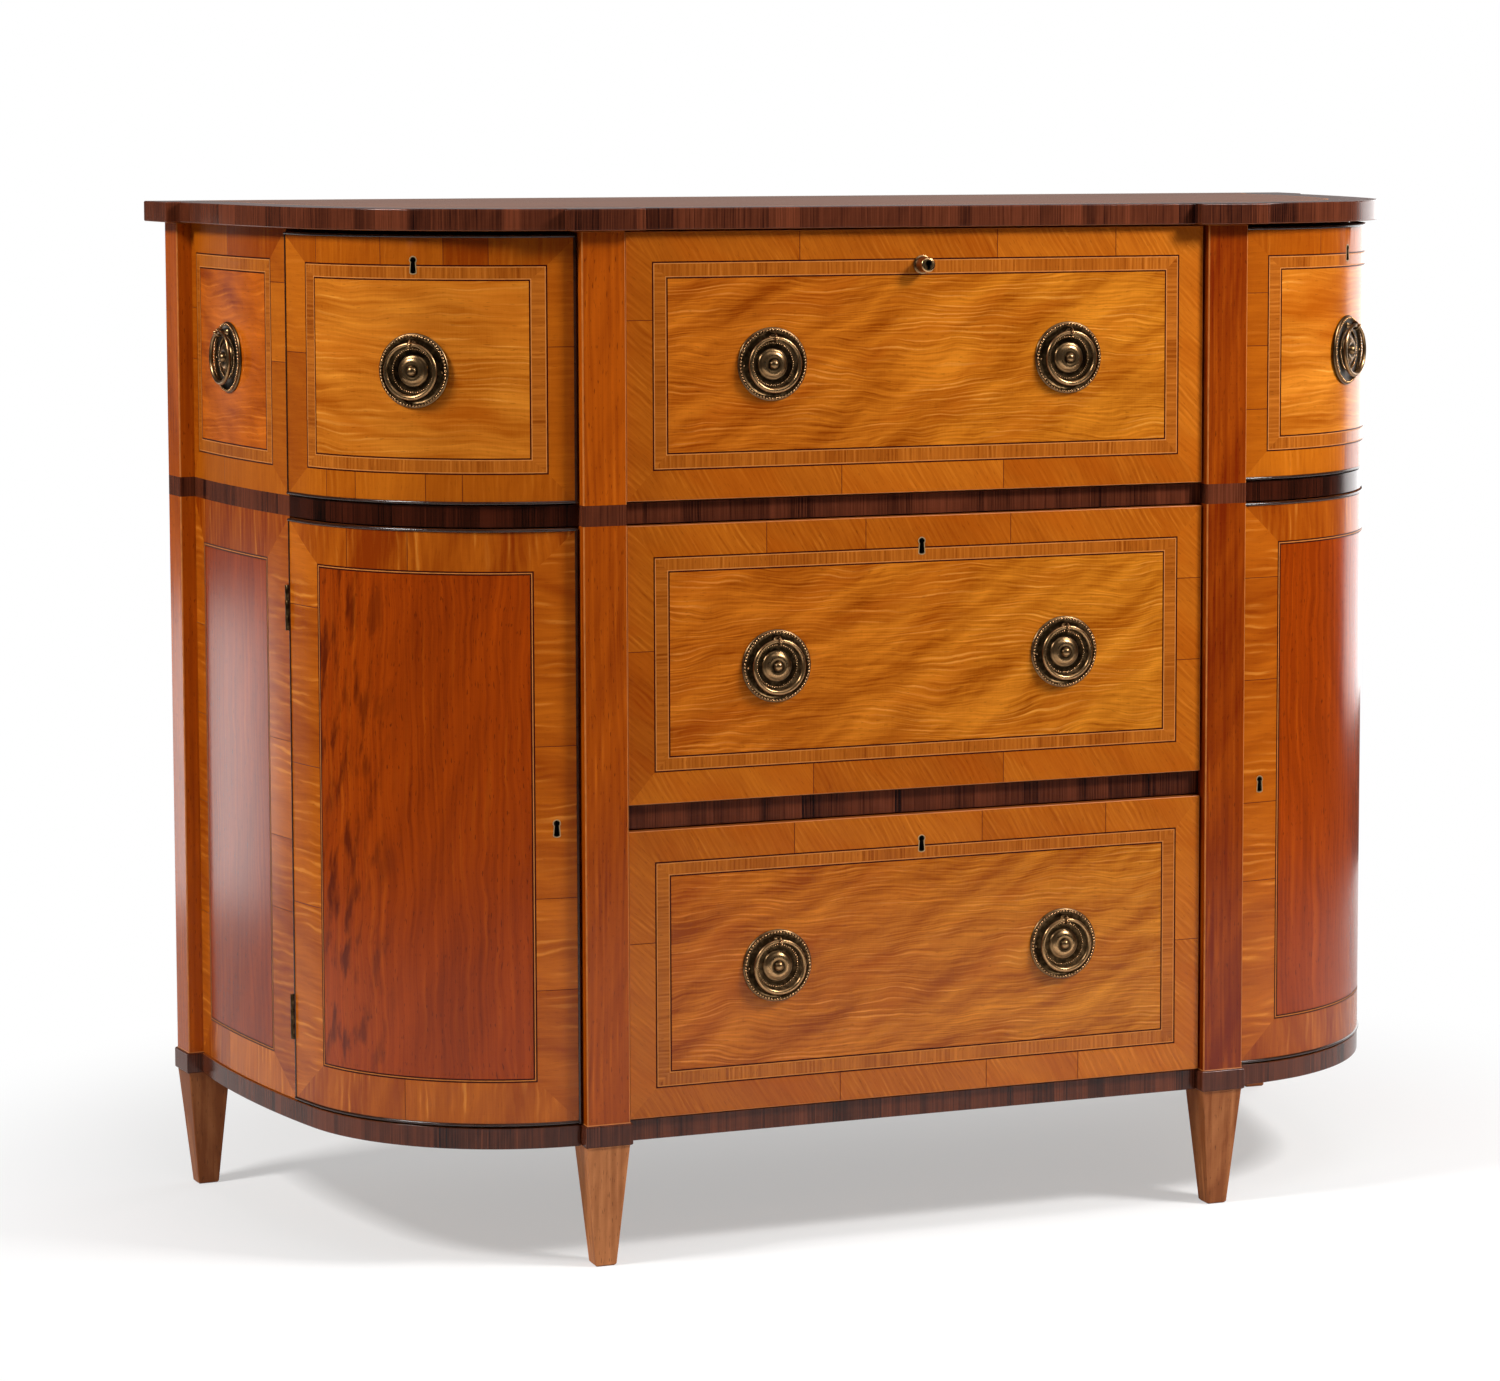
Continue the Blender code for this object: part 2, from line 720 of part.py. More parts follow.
def make_open_box(name, bottom, floor, top):
    """A drawer box behind a flat front: floor, two sides and a back."""
    body = box(name, (-FRONT_HALF, BOX_FRONT, bottom), (FRONT_HALF, BOX_BACK, top), "carcase_wood")
    reach = FRONT_HALF - BOX_WALL
    low = (-reach, BOX_FRONT - OVERRUN, floor)
    cut(body, box(f"{name}_inside", low, (reach, BOX_BACK - BOX_WALL, top + OVERRUN), None))
    return body


def make_centre_drawer(name, floor, ceiling, handle_drop, meshes):
    bottom, top = floor + DRAWER_GAP, ceiling - DRAWER_GAP
    empty = joint_empty(f"{name}_drawer_slide", (0, FACE, (bottom + top) / 2))
    front = make_flat_front(f"{name}_drawer_front", bottom, top, keyhole=True)
    box_floor = floor + GAP + BOX_FLOOR
    tray = make_open_box(f"{name}_drawer_box", floor + GAP, box_floor, ceiling - BOX_HEADROOM)
    carry(empty, front, tray)
    height = (bottom + top) / 2 - handle_drop
    add_handles(handle_pair(name, DRAWER_HANDLE_X, height), meshes, empty)


# Secretaire


def arch_outline(left, right, bottom, top):
    """An opening with upright sides and a round head, in X and Z."""
    radius = (right - left) / 2
    turns = [math.pi * step / ARCH_STEPS for step in range(ARCH_STEPS + 1)]
    centre = Vector(((left + right) / 2, top - radius))
    head = [centre + radius * Vector((math.cos(turn), math.sin(turn))) for turn in turns]
    return [(left, bottom), (right, bottom), *head]


def pigeonhole_cutter(name, outline, front, back):
    mesh = flat_mesh(outline, back - front)
    mesh.transform(Matrix.Rotation(math.pi / 2, 4, "X"))
    return add(name, mesh, None, Matrix.Translation((0, (front + back) / 2, 0)))


def cells(reach, count):
    """Left and right edges of this many equal cells with a wall between each."""
    width = (2 * reach - (count + 1) * PIGEON_WALL) / count
    lefts = [-reach + PIGEON_WALL + index * (width + PIGEON_WALL) for index in range(count)]
    return [(left, left + width) for left in lefts]


def make_pigeonholes():
    """Arched pigeonholes over low open cells, standing on the writing surface."""
    reach = FRONT_HALF - BOX_WALL - GAP
    back = BOX_BACK - BOX_WALL - GAP
    front = back - PIGEON_DEPTH
    bottom = WRITING_HEIGHT + GAP
    fitment = box("secretaire_pigeonholes", (-reach, front, bottom), (reach, back, TRAY_TOP), "satinwood")
    ends = front - OVERRUN, back - PIGEON_WALL
    low = bottom + PIGEON_WALL
    shelf = low + PIGEON_LOW_HEIGHT
    for index, (left, right) in enumerate(cells(reach, PIGEON_LOWER_CELLS)):
        outline = [(left, low), (right, low), (right, shelf), (left, shelf)]
        cut(fitment, pigeonhole_cutter(f"low_cell_{index}", outline, *ends))
    for index, (left, right) in enumerate(cells(reach, PIGEON_UPPER_CELLS)):
        outline = arch_outline(left, right, shelf + PIGEON_WALL, TRAY_TOP - PIGEON_WALL)
        cut(fitment, pigeonhole_cutter(f"arched_cell_{index}", outline, *ends))
    return fitment


def make_lock_boss():
    """The brass nose of the secretaire's lock."""
    profile = [
        (0, LOCK_LENGTH),
        (LOCK_RADIUS - LOCK_CHAMFER, LOCK_LENGTH),
        (LOCK_RADIUS, LOCK_LENGTH - LOCK_CHAMFER),
        (LOCK_RADIUS, LOCK_COLLAR),
        (LOCK_RADIUS + LOCK_COLLAR, LOCK_COLLAR),
        (LOCK_RADIUS + LOCK_COLLAR, 0),
        (0, 0),
    ]
    mesh = turned_mesh(profile, LOCK_STEPS)
    mesh.transform(Matrix.Rotation(math.pi / 2, 4, "X"))
    shade_round(mesh)
    height = FALL_TOP - LOCK_INSET
    place = on_front(0, height) @ Matrix.Translation((0, -GAP, 0))
    boss = add("secretaire_lock", mesh, "brass", place)
    nose = place @ Matrix.Translation((0, -LOCK_LENGTH, 0))
    sizes = (LOCK_KEYHOLE_WAIST, LOCK_KEYHOLE_FOOT, LOCK_KEYHOLE_HEIGHT)
    cut(boss, keyhole_cutter("lock_keyhole", nose, *sizes))
    return boss


def make_secretaire(meshes):
    """The top drawer: a sliding tray with pigeonholes, and a front that falls to a writing flap."""
    slide = joint_empty("secretaire_slide", (0, FACE, UPPER_RAIL_TOP))
    tray = make_open_box("secretaire_tray", UPPER_RAIL_TOP + GAP, WRITING_HEIGHT, TRAY_TOP)
    carry(slide, tray, make_pigeonholes())
    hinge = joint_empty("secretaire_fall_hinge", (0, FACE, FALL_BOTTOM))
    fall = make_flat_front("secretaire_fall", FALL_BOTTOM, FALL_TOP, keyhole=False)
    carry(hinge, fall, make_lock_boss())
    height = (FALL_BOTTOM + FALL_TOP) / 2
    add_handles(handle_pair("secretaire", SECRETAIRE_HANDLE_X, height), meshes, hinge)
    carry(slide, hinge)


# Curved drawers, faux drawers and doors


def make_curved_box(name, side, floor, top):
    """A drawer box narrow enough to pass the stile and the side panel, its front edge curved."""
    inner = STILE_OUTER + SLIDE_CLEARANCE
    outer = wall(JOINT_LENGTH, -SIDE_THICKNESS).x - SLIDE_CLEARANCE
    offset = CURVED_PROUD - FRONT_THICKNESS - GAP
    front = wall_run(length_at(inner, offset), length_at(outer, offset), offset)
    outline = mirrored([*front, (outer, BOX_BACK), (inner, BOX_BACK)], side)
    body = board(name, outline, floor, top, "carcase_wood")
    edges = sorted((side * (inner + BOX_WALL), side * (outer - BOX_WALL)))
    low = (edges[0], STILE_FRONT - OVERRUN, floor + BOX_FLOOR)
    cut(body, box(f"{name}_inside", low, (edges[1], BOX_BACK - BOX_WALL, top + OVERRUN), None))
    return body


def make_curved_drawer(side_name, side, meshes):
    bottom, top = UPPER_RAIL_TOP + DRAWER_GAP, TOP_UNDER - CURVED_TOP_GAP
    empty = joint_empty(f"{side_name}_drawer_slide", (side * STILE_OUTER, FACE, (bottom + top) / 2))
    front = curved_slab(
        f"{side_name}_drawer_front",
        side,
        (CURVED_END_GAP, JOINT_LENGTH - CURVED_END_GAP),
        (CURVED_PROUD - FRONT_THICKNESS, CURVED_PROUD),
        (bottom, top),
        "satinwood",
    )
    keyhole = on_wall(side, CURVED_HANDLE_LENGTH, CURVED_PROUD, top - CURVED_KEYHOLE_INSET)
    cut(front, keyhole_cutter(f"{side_name}_drawer_keyhole", keyhole))
    tray = make_curved_box(f"{side_name}_drawer_box", side, UPPER_RAIL_TOP + GAP, top - BOX_HEADROOM)
    carry(empty, front, tray)
    place = on_wall(side, CURVED_HANDLE_LENGTH, CURVED_PROUD, (bottom + top) / 2)
    add_handles({f"drawer_{side_name}": place}, meshes, empty)


def make_side_handle(side_name, side, meshes):
    """The handle of the faux drawer veneered on the side panel, which opens nothing."""
    height = (UPPER_RAIL_TOP + DRAWER_GAP + TOP_UNDER - CURVED_TOP_GAP) / 2
    place = on_wall(side, SIDE_HANDLE_LENGTH, 0, height)
    add_handles({f"side_{side_name}": place}, meshes)


def joint_point(side, offset, along):
    """Plan point by the joint of door and side panel: outside the wall, and along it."""
    normal = wall_normal(JOINT_LENGTH)
    point = wall(JOINT_LENGTH, offset) + along * Vector((-normal.y, normal.x))
    return Vector((side * point.x, point.y))


def hinge_bottoms():
    return {
        "upper": DOOR_TOP - HINGE_INSET_TOP - HINGE_HEIGHT,
        "lower": DOOR_BOTTOM + HINGE_INSET_BOTTOM,
    }


def make_hinge(name, side, bottom):
    """The fixed leaf in the joint's gap, with the knuckle that stands outside the wall."""
    spans = (-GAP - HINGE_LEAF, -GAP), (-HINGE_LEAF_DEPTH, HINGE_STANDOFF)
    turns = ((0, 0), (0, 1), (1, 1), (1, 0))
    plan = [joint_point(1, spans[1][out], spans[0][along]) for along, out in turns]
    leaf = board(name, mirrored(plan, side), bottom, bottom + HINGE_HEIGHT, "brass")
    pivot = joint_point(side, HINGE_STANDOFF, -HINGE_GAP / 2)
    place = Matrix.Translation((*pivot, bottom + HINGE_HEIGHT / 2))
    knuckle = rod_mesh(HINGE_RADIUS, HINGE_HEIGHT, HINGE_SIDES)
    combine(leaf, add(f"{name}_knuckle", knuckle, None, place), "UNION")
    room = rod_mesh(HINGE_RADIUS + HINGE_CLEARANCE, HINGE_HEIGHT + 2 * HINGE_CLEARANCE, HINGE_SIDES)
    return add(f"{name}_room", room, None, place)


def make_door(side_name, side):
    door = curved_slab(
        f"door_{side_name}",
        side,
        (DOOR_GAP, JOINT_LENGTH - HINGE_GAP),
        (CURVED_PROUD - DOOR_THICKNESS, CURVED_PROUD),
        (DOOR_BOTTOM, DOOR_TOP),
        "door_wood",
    )
    for level, bottom in hinge_bottoms().items():
        cut(door, make_hinge(f"hinge_{side_name}_{level}", side, bottom))
    middle = (DOOR_BOTTOM + DOOR_TOP) / 2
    keyhole = on_wall(side, DOOR_KEYHOLE_INSET, CURVED_PROUD, middle)
    cut(door, keyhole_cutter(f"door_{side_name}_keyhole", keyhole))
    pivot = joint_point(side, HINGE_STANDOFF, -HINGE_GAP / 2)
    carry(joint_empty(f"door_{side_name}_hinge", (*pivot, middle)), door)


def main():
    make_carcase()
    meshes = plate_mesh(), ring_mesh()
    make_secretaire(meshes)
    make_centre_drawer("middle", LOWER_RAIL_TOP, UPPER_RAIL_BOTTOM, MIDDLE_HANDLE_DROP, meshes)
    make_centre_drawer("bottom", BASE_TOP, LOWER_RAIL_BOTTOM, 0, meshes)
    for side_name, side in SIDES.items():
        make_curved_drawer(side_name, side, meshes)
        make_side_handle(side_name, side, meshes)
        make_door(side_name, side)


clear_scene()
PIECES = new_collection("secretary_cabinet")
CUTTERS = new_collection("cutters")
main()
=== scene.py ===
"""Dresses a bow-ended secretary cabinet: figured veneers with stringing and crossbanding, beaded
brass handles, ebonised beads, leather on the writing surface, and the studio round it.

Metres, in the frame of the part: +Z up, +X to the viewer's right, the front faces -Y.
"""

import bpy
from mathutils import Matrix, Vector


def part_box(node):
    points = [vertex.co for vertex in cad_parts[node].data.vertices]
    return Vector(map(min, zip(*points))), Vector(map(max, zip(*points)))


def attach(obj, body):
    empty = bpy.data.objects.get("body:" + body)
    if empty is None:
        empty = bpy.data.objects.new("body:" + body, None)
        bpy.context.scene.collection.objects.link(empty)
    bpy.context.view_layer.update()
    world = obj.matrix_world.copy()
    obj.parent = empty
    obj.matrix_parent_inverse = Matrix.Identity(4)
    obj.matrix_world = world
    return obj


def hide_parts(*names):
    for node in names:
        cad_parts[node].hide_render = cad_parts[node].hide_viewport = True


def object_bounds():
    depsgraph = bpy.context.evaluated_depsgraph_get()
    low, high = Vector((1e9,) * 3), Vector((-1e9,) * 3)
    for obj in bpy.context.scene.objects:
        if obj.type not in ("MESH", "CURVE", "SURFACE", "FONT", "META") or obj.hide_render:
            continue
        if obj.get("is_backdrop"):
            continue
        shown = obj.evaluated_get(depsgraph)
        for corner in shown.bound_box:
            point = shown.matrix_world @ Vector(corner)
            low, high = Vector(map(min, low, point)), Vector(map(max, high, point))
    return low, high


bl_info = {
    "name": "Bow-ended secretary cabinet",
    "version": (1, 0, 0),
    "blender": (4, 5, 0),
    "location": "View3D > Sidebar > Cabinet",
    "description": "Veneers, brass and linings of a bow-ended secretary cabinet, with its studio",
    "category": "Object",
}

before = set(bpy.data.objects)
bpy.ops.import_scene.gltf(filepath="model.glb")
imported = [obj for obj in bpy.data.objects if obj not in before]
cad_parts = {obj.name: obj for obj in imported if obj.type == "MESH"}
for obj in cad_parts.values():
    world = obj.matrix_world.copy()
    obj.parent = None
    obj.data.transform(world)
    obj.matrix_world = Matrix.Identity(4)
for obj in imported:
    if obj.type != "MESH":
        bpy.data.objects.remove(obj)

import math
import random

import bmesh
import bpy
from mathutils import Matrix, Vector

CAD_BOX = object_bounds()
SIDES = {"left": -1, "right": 1}
MILLIMETRE = 0.001

# Plan of the body, as in the part
STILE_SIZE = 0.038
STILE_CENTRE_X = 0.2862
WALL_SETBACK = 0.0126
CORNER_RADIUS = 0.199
CORNER_TURN = math.radians(75.3)
CORNER_LENGTH = CORNER_RADIUS * CORNER_TURN
FLANK_RADIUS = 1.181
FLANK_LENGTH = 0.2533
WALL_LENGTH = CORNER_LENGTH + FLANK_LENGTH
JOINT_LENGTH = 0.292
TOP_OVERHANG = 0.0137
POST_STEP = 0.0135
POST_DEPTH = 0.032
POST_SPLAY = math.radians(6)
CURVED_PROUD = 0.002
STILE_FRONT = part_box("top_board")[0].y + TOP_OVERHANG
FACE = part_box("middle_drawer_front")[0].y

# Heights
TOP_Z = CAD_BOX[1][2]
TOP_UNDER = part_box("top_board")[0].z
BASE_BOTTOM, BASE_TOP = (corner.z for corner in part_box("base_band_left"))
RAIL_BOTTOM, RAIL_TOP = (corner.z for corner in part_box("centre_divider_upper"))

# Longest chord of a curved face, and the angles above which an edge is eased or stays sharp
BEND_STEP = 0.004
EASED_ANGLE = math.radians(50)
WALL_SHARP_ANGLE = math.radians(35)

# How the grain of each veneer lies, and its shortest and longest piece
ALONG = ("along", None)
VENEERS = {
    **dict.fromkeys(("satinwood_figure", "end_figure", "side_figure"), ("level", None)),
    "side_grain": ("level", None),
    "door_figure": ("upright", None),
    "border": ("across", (0.07, 0.19)),
    "end_border": ("across", (0.03, 0.11)),
    "door_border": ("across", (0.06, 0.15)),
    "crossband": ("across", (0.010, 0.042)),
    "rosewood": ("upright", (0.004, 0.022)),
    "shaded_rosewood": ("upright", (0.004, 0.022)),
}
UPRIGHT = ("left", "right")

# Borders whose slips meet in a fine dark line, and its width
JOINTED = ("border", "end_border", "door_border")
JOINT_LINE = 0.0007

# Slant of a slip of border veneer from square across, at top and bottom and at the sides
SLANTS = {"border": (math.radians(-30), math.radians(42))}

# How much lighter or darker some strips of veneer are than their wood
STRIP_SHADES = {
    # The centre borders' darker left strip and lighter right strip are painted light, falling from
    # the right
    ("border", "left"): -0.5,
    ("border", "right"): 1.2,
    ("end_border", "top"): -1.2,
    ("door_border", "top"): -1.6,
    ("door_border", "right"): 0.5,
}


# Plan helpers


def wall_normal(length):
    """Outward direction of the curved wall at this length along it from the stile."""
    angle = length / CORNER_RADIUS
    if length > CORNER_LENGTH:
        angle = CORNER_TURN + (length - CORNER_LENGTH) / FLANK_RADIUS
    return Vector((math.sin(angle), -math.cos(angle)))


def wall(length, offset=0.0):
    """Plan point of the curved wall on the right, this far outside its face."""
    stile_side = STILE_CENTRE_X + STILE_SIZE / 2
    centre = Vector((stile_side, STILE_FRONT + WALL_SETBACK + CORNER_RADIUS))
    radius = CORNER_RADIUS
    if length > CORNER_LENGTH:
        centre += (CORNER_RADIUS - FLANK_RADIUS) * wall_normal(CORNER_LENGTH)
        radius = FLANK_RADIUS
    return centre + (radius + offset) * wall_normal(length)


def length_at(x, offset):
    """Length along the wall where a line this far outside it reaches x."""
    low, high = 0.0, WALL_LENGTH
    for _ in range(40):
        middle = (low + high) / 2
        low, high = (middle, high) if wall(middle, offset).x < x else (low, middle)
    return low


def flat_place(front):
    """Placing of slab coordinates (along, depth, height) on a flat face at this Y."""
    return lambda along, depth, height: Vector((along, front + depth, height))


def curved_place(side, proud):
    """Placing of slab coordinates on the curved wall of one side."""

    def place(along, depth, height):
        point = wall(along, proud - depth)
        return Vector((side * point.x, point.y, height))

    return place


def on_wall(side, length, offset, height):
    """Matrix of a spot on the curved wall whose -Y points straight out of it."""
    point, normal = wall(length, offset), wall_normal(length)
    turn = side * math.atan2(normal.x, -normal.y)
    spot = Matrix.Translation((side * point.x, point.y, height))
    return spot @ Matrix.Rotation(turn, 4, "Z")


def on_face(x, height):
    return Matrix.Translation((x, FACE, height))


def inside(rect, x, z):
    return rect[0] <= x <= rect[1] and rect[2] <= z <= rect[3]


def shrunk(rect, width):
    return rect[0] + width, rect[1] - width, rect[2] + width, rect[3] - width


def corners_of(rect):
    x0, x1, z0, z1 = rect
    return (x0, z0), (x1, z0), (x1, z1), (x0, z1)


# Mesh helpers


def piece_object(name, mesh):
    piece = bpy.data.objects.new(name, mesh)
    bpy.context.scene.collection.objects.link(piece)
    return piece


def mesh_of(form, name, *kinds):
    """The mesh of a form, with its faces turned outwards and these finishes in its slots."""
    bmesh.ops.recalc_face_normals(form, faces=form.faces)
    mesh = bpy.data.meshes.new(name)
    form.to_mesh(mesh)
    form.free()
    for kind in kinds:
        mesh.materials.append(finish(kind))
    return mesh


def shade(mesh, angle=EASED_ANGLE):
    mesh.shade_smooth()
    mesh.set_sharp_from_angle(angle=angle)
    return mesh


def settle(piece):
    """Turns the piece's modifiers into plain mesh."""
    bpy.context.view_layer.update()
    graph = bpy.context.evaluated_depsgraph_get()
    mesh = bpy.data.meshes.new_from_object(piece.evaluated_get(graph))
    piece.modifiers.clear()
    piece.data = mesh
    return piece


def soften(piece, width, segments=2):
    """Eases the piece's sharp edges and lets its broad faces keep flat shading."""
    bevel = piece.modifiers.new("ease", "BEVEL")
    bevel.width = width
    bevel.segments = segments
    bevel.use_clamp_overlap = False
    bevel.limit_method = "ANGLE"
    bevel.angle_limit = EASED_ANGLE
    piece.modifiers.new("flatten", "WEIGHTED_NORMAL").keep_sharp = True
    piece.data.shade_smooth()
    return settle(piece)


def fit(piece, body, slot, *nodes):
    """Puts a finished piece on its body, in its finish, in place of these nodes."""
    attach(piece, body)
    if nodes:
        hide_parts(*nodes)


def metal_form():
    """An empty form, and the layer that says how much its brass is rubbed bright."""
    form = bmesh.new()
    return form, form.verts.layers.float.new("wear")


def veneer_form():
    """An empty form, its grain's UVs, and the layer of each slip's shade."""
    form = bmesh.new()
    return form, form.loops.layers.uv.new("UVMap"), form.faces.layers.float.new("tone")


def walls(form, loops, closed=False):
    """Faces between each loop of points and the next, and from last to first if closed."""
    return [
        form.faces.new((low[here - 1], low[here], high[here], high[here - 1]))
        for low, high in zip(loops, loops[1:] + loops[: int(closed)])
        for here in (*range(1, len(low)), 0)
    ]


def prism(form, loops):
    """A tube through loops of points, closed at both ends."""
    walls(form, loops)
    form.faces.new(loops[0])
    form.faces.new(loops[-1])


def turned(profile, steps, unit=MILLIMETRE):
    """A form turned about Z from rows of (radius, height, wear), front centre first."""
    form, wear = metal_form()
    rows = []
    for radius, height, share in profile:
        radius, height, row = radius * unit, height * unit, []
        for step in range(steps if radius > 0 else 1):
            turn = 2 * math.pi * step / steps
            vert = form.verts.new((radius * math.cos(turn), radius * math.sin(turn), height))
            vert[wear] = share
            row.append(vert)
        rows.append(row)
    for upper, lower in zip(rows, rows[1:]):
        for step in range(steps):
            after = (step + 1) % steps
            ring = [upper[step % len(upper)], lower[step % len(lower)]]
            ring += [lower[after % len(lower)], upper[after % len(upper)]]
            face = list(dict.fromkeys(ring))
            if len(face) > 2:
                form.faces.new(face)
    return form


def thin_box(name, low, high, kind):
    form = bmesh.new()
    low, high = Vector(low), Vector(high)
    bmesh.ops.create_cube(form, size=1, matrix=Matrix.Diagonal((*(high - low), 1)))
    form.transform(Matrix.Translation((low + high) / 2))
    return piece_object(name, mesh_of(form, name, kind))


# Veneered slabs


def strip_of(layers, x, z):
    """Which layer of an area holds this point, and which of its four strips."""
    index = max(i for i, layer in enumerate(layers) if inside(layer[1], x, z))
    if index + 1 == len(layers):
        return index, "field"
    outer, inner = layers[index][1], layers[index + 1][1]
    gaps = [max(abs(a - b), 1e-9) for a, b in zip(outer, inner)]
    ways = (x - outer[0], outer[1] - x, z - outer[2], outer[3] - z)
    shares = dict(zip(("left", "right", "bottom", "top"), map(lambda a, b: a / b, ways, gaps)))
    return index, min(shares, key=shares.get)


def strips_of(layers):
    """Rectangles of an area's strips, without their mitred corners, by layer and strip."""
    found = {}
    for index, ((_, outer), (_, inner)) in enumerate(zip(layers, layers[1:])):
        found[index, "left"] = (outer[0], inner[0], inner[2], inner[3])
        found[index, "right"] = (inner[1], outer[1], inner[2], inner[3])
        found[index, "bottom"] = (inner[0], inner[1], outer[2], inner[2])
        found[index, "top"] = (inner[0], inner[1], inner[3], outer[3])
    found[len(layers) - 1, "field"] = layers[-1][1]
    return found


def joint_places(low, high, lengths, seed):
    """Where one slip of veneer meets the next along a strip."""
    chance = random.Random(seed)
    found, at = [], low
    while lengths:
        at += chance.uniform(*lengths)
        if at > high - lengths[0] / 2:
            break
        found.append(at)
    return found


def cut_form(form, faces, point, normal):
    geometry = set(faces)
    for face in faces:
        geometry.update(face.edges, face.verts)
    bmesh.ops.bisect_plane(
        form, geom=list(geometry), plane_co=point, plane_no=normal, dist=1e-7
    )


def cut_at(form, faces, place, level=False):
    """Cuts these faces upright at an X, or level at a Z."""
    if level:
        cut_form(form, faces, (0, 0, place), (0, 0, 1))
    else:
        cut_form(form, faces, (place, 0, 0), (1, 0, 0))


def faces_in(form, rect):
    middles = [(face, face.calc_center_median()) for face in form.faces]
    return [face for face, middle in middles if inside(rect, middle.x, middle.z)]


def frame_cuts(form, layers):
    """Cuts the sheet along the layers' edges and mitres their corners."""
    for _, rect in layers:
        for place in range(4):
            cut_at(form, form.faces, rect[place], place > 1)
    for (_, outer), (_, inner) in zip(layers, layers[1:]):
        for i in (0, 1):
            for k in (2, 3):
                across = Vector((inner[i] - outer[i], 0, inner[k] - outer[k]))
                xs, zs = sorted((outer[i], inner[i])), sorted((outer[k], inner[k]))
                normal = Vector((-across.z, 0, across.x)).normalized()
                cut_form(form, faces_in(form, (*xs, *zs)), (outer[i], 0, outer[k]), normal)


def joint_cuts(form, name, layers):
    """Cuts each strip where its slips meet, and returns these places by layer and strip."""
    joints = {}
    for (index, strip), rect in strips_of(layers).items():
        kind, upright = layers[index][0], strip in UPRIGHT
        low, high = rect[2:] if upright else rect[:2]
        lengths = VENEERS.get(kind, ALONG)[1]
        joints[index, strip] = joint_places(low, high, lengths, f"{name} {index} {strip}")
        half = JOINT_LINE / 2
        for place in joints[index, strip]:
            for side in (-half, half) if kind in JOINTED else (0.0,):
                cut_at(form, faces_in(form, rect), place + side, upright)
    return joints


def paint_face(face, uv, tone, kind, strip, seed):
    """Lays the grain of one face of a strip, with U along the grain."""
    chance = random.Random(seed)
    shift = Vector((chance.uniform(0, 9), chance.uniform(0, 9)))
    if "slips" in WOODS.get(kind, ()):
        shift = Vector((0, 0))
    face[tone] = chance.gauss(0, 1) + STRIP_SHADES.get((kind, strip), 0)
    upright = strip in UPRIGHT
    along_x = {"level": True, "upright": False, "across": upright, "along": not upright}
    slant = SLANTS.get(kind, (0.0, 0.0))[upright]
    for loop in face.loops:
        x, z = loop.vert.co.x, loop.vert.co.z
        spot = Vector((x, z) if along_x[VENEERS.get(kind, ALONG)[0]] else (z, -x))
        spot.rotate(Matrix.Rotation(slant, 2))
        loop[uv].uv = spot + shift


def veneer_slab(name, areas, place, thickness, bend=False):
    """A slab whose front is tiled by areas of nested veneer layers (kind, rectangle)."""
    rects = [layers[0][1] for layers in areas]
    x0, x1 = min(r[0] for r in rects), max(r[1] for r in rects)
    z0, z1 = min(r[2] for r in rects), max(r[3] for r in rects)
    form, uv, tone = veneer_form()
    form.faces.new([form.verts.new((x, 0, z)) for x, z in corners_of((x0, x1, z0, z1))])
    steps = round((x1 - x0) / BEND_STEP) if bend else 1
    for step in range(1, steps):
        cut_at(form, form.faces, x0 + (x1 - x0) * step / steps)
    kinds = ["side_grain", "joint_line"]
    plans = []
    for index, layers in enumerate(areas):
        frame_cuts(form, layers)
        plans.append(joint_cuts(form, f"{name} {index}", layers))
        kinds += [kind for kind, _ in layers if kind not in kinds]
    fronts = list(form.faces)
    for face in fronts:
        middle = face.calc_center_median()
        area = next(i for i, rect in enumerate(rects) if inside(rect, middle.x, middle.z))
        layer, strip = strip_of(areas[area], middle.x, middle.z)
        kind = areas[area][layer][0]
        reach = middle.z if strip in UPRIGHT else middle.x
        joints = plans[area][layer, strip]
        slip = sum(joint < reach for joint in joints)
        if kind in JOINTED and any(abs(joint - reach) < JOINT_LINE / 2 for joint in joints):
            kind = "joint_line"
        face.material_index = kinds.index(kind)
        paint_face(face, uv, tone, kind, strip, f"{name} {area} {layer} {strip} {slip}")
    made = bmesh.ops.extrude_face_region(form, geom=fronts, use_keep_orig=True)
    for item in made["geom"]:
        if isinstance(item, bmesh.types.BMVert):
            item.co.y = thickness
    for face in set(form.faces) - set(fronts):
        face.material_index = 0
        face[tone] = 0.0
        for loop in face.loops:
            x, y, z = loop.vert.co
            loop[uv].uv = (x + z * 0.001, z + y)
    for vert in form.verts:
        vert.co = place(*vert.co)
    return piece_object(name, mesh_of(form, name, *kinds))


def drawer_layers(border, edge, outer, inner, field, settings):
    """Border, string, narrow crossband, string and figured field of a drawer front."""
    line, pale = settings.black_string, settings.pale_string
    return [
        (border, edge),
        ("black_string", outer),
        ("pale_string", shrunk(outer, line)),
        ("crossband", shrunk(outer, line + pale)),
        ("pale_string", shrunk(inner, -pale)),
        ("black_string", inner),
        (field, shrunk(inner, line)),
    ]


def door_layers(edge, outer, settings):
    """Wide crossband, a double string and the upright figured field of a door."""
    line, pale = settings.black_string, settings.pale_string
    return [
        ("door_border", edge),
        ("black_string", outer),
        ("pale_string", shrunk(outer, line)),
        ("black_string", shrunk(outer, line + pale)),
        ("door_figure", shrunk(outer, 2 * line + pale)),
    ]


# Materials


def colour(rgb):
    return (*rgb, 1.0)


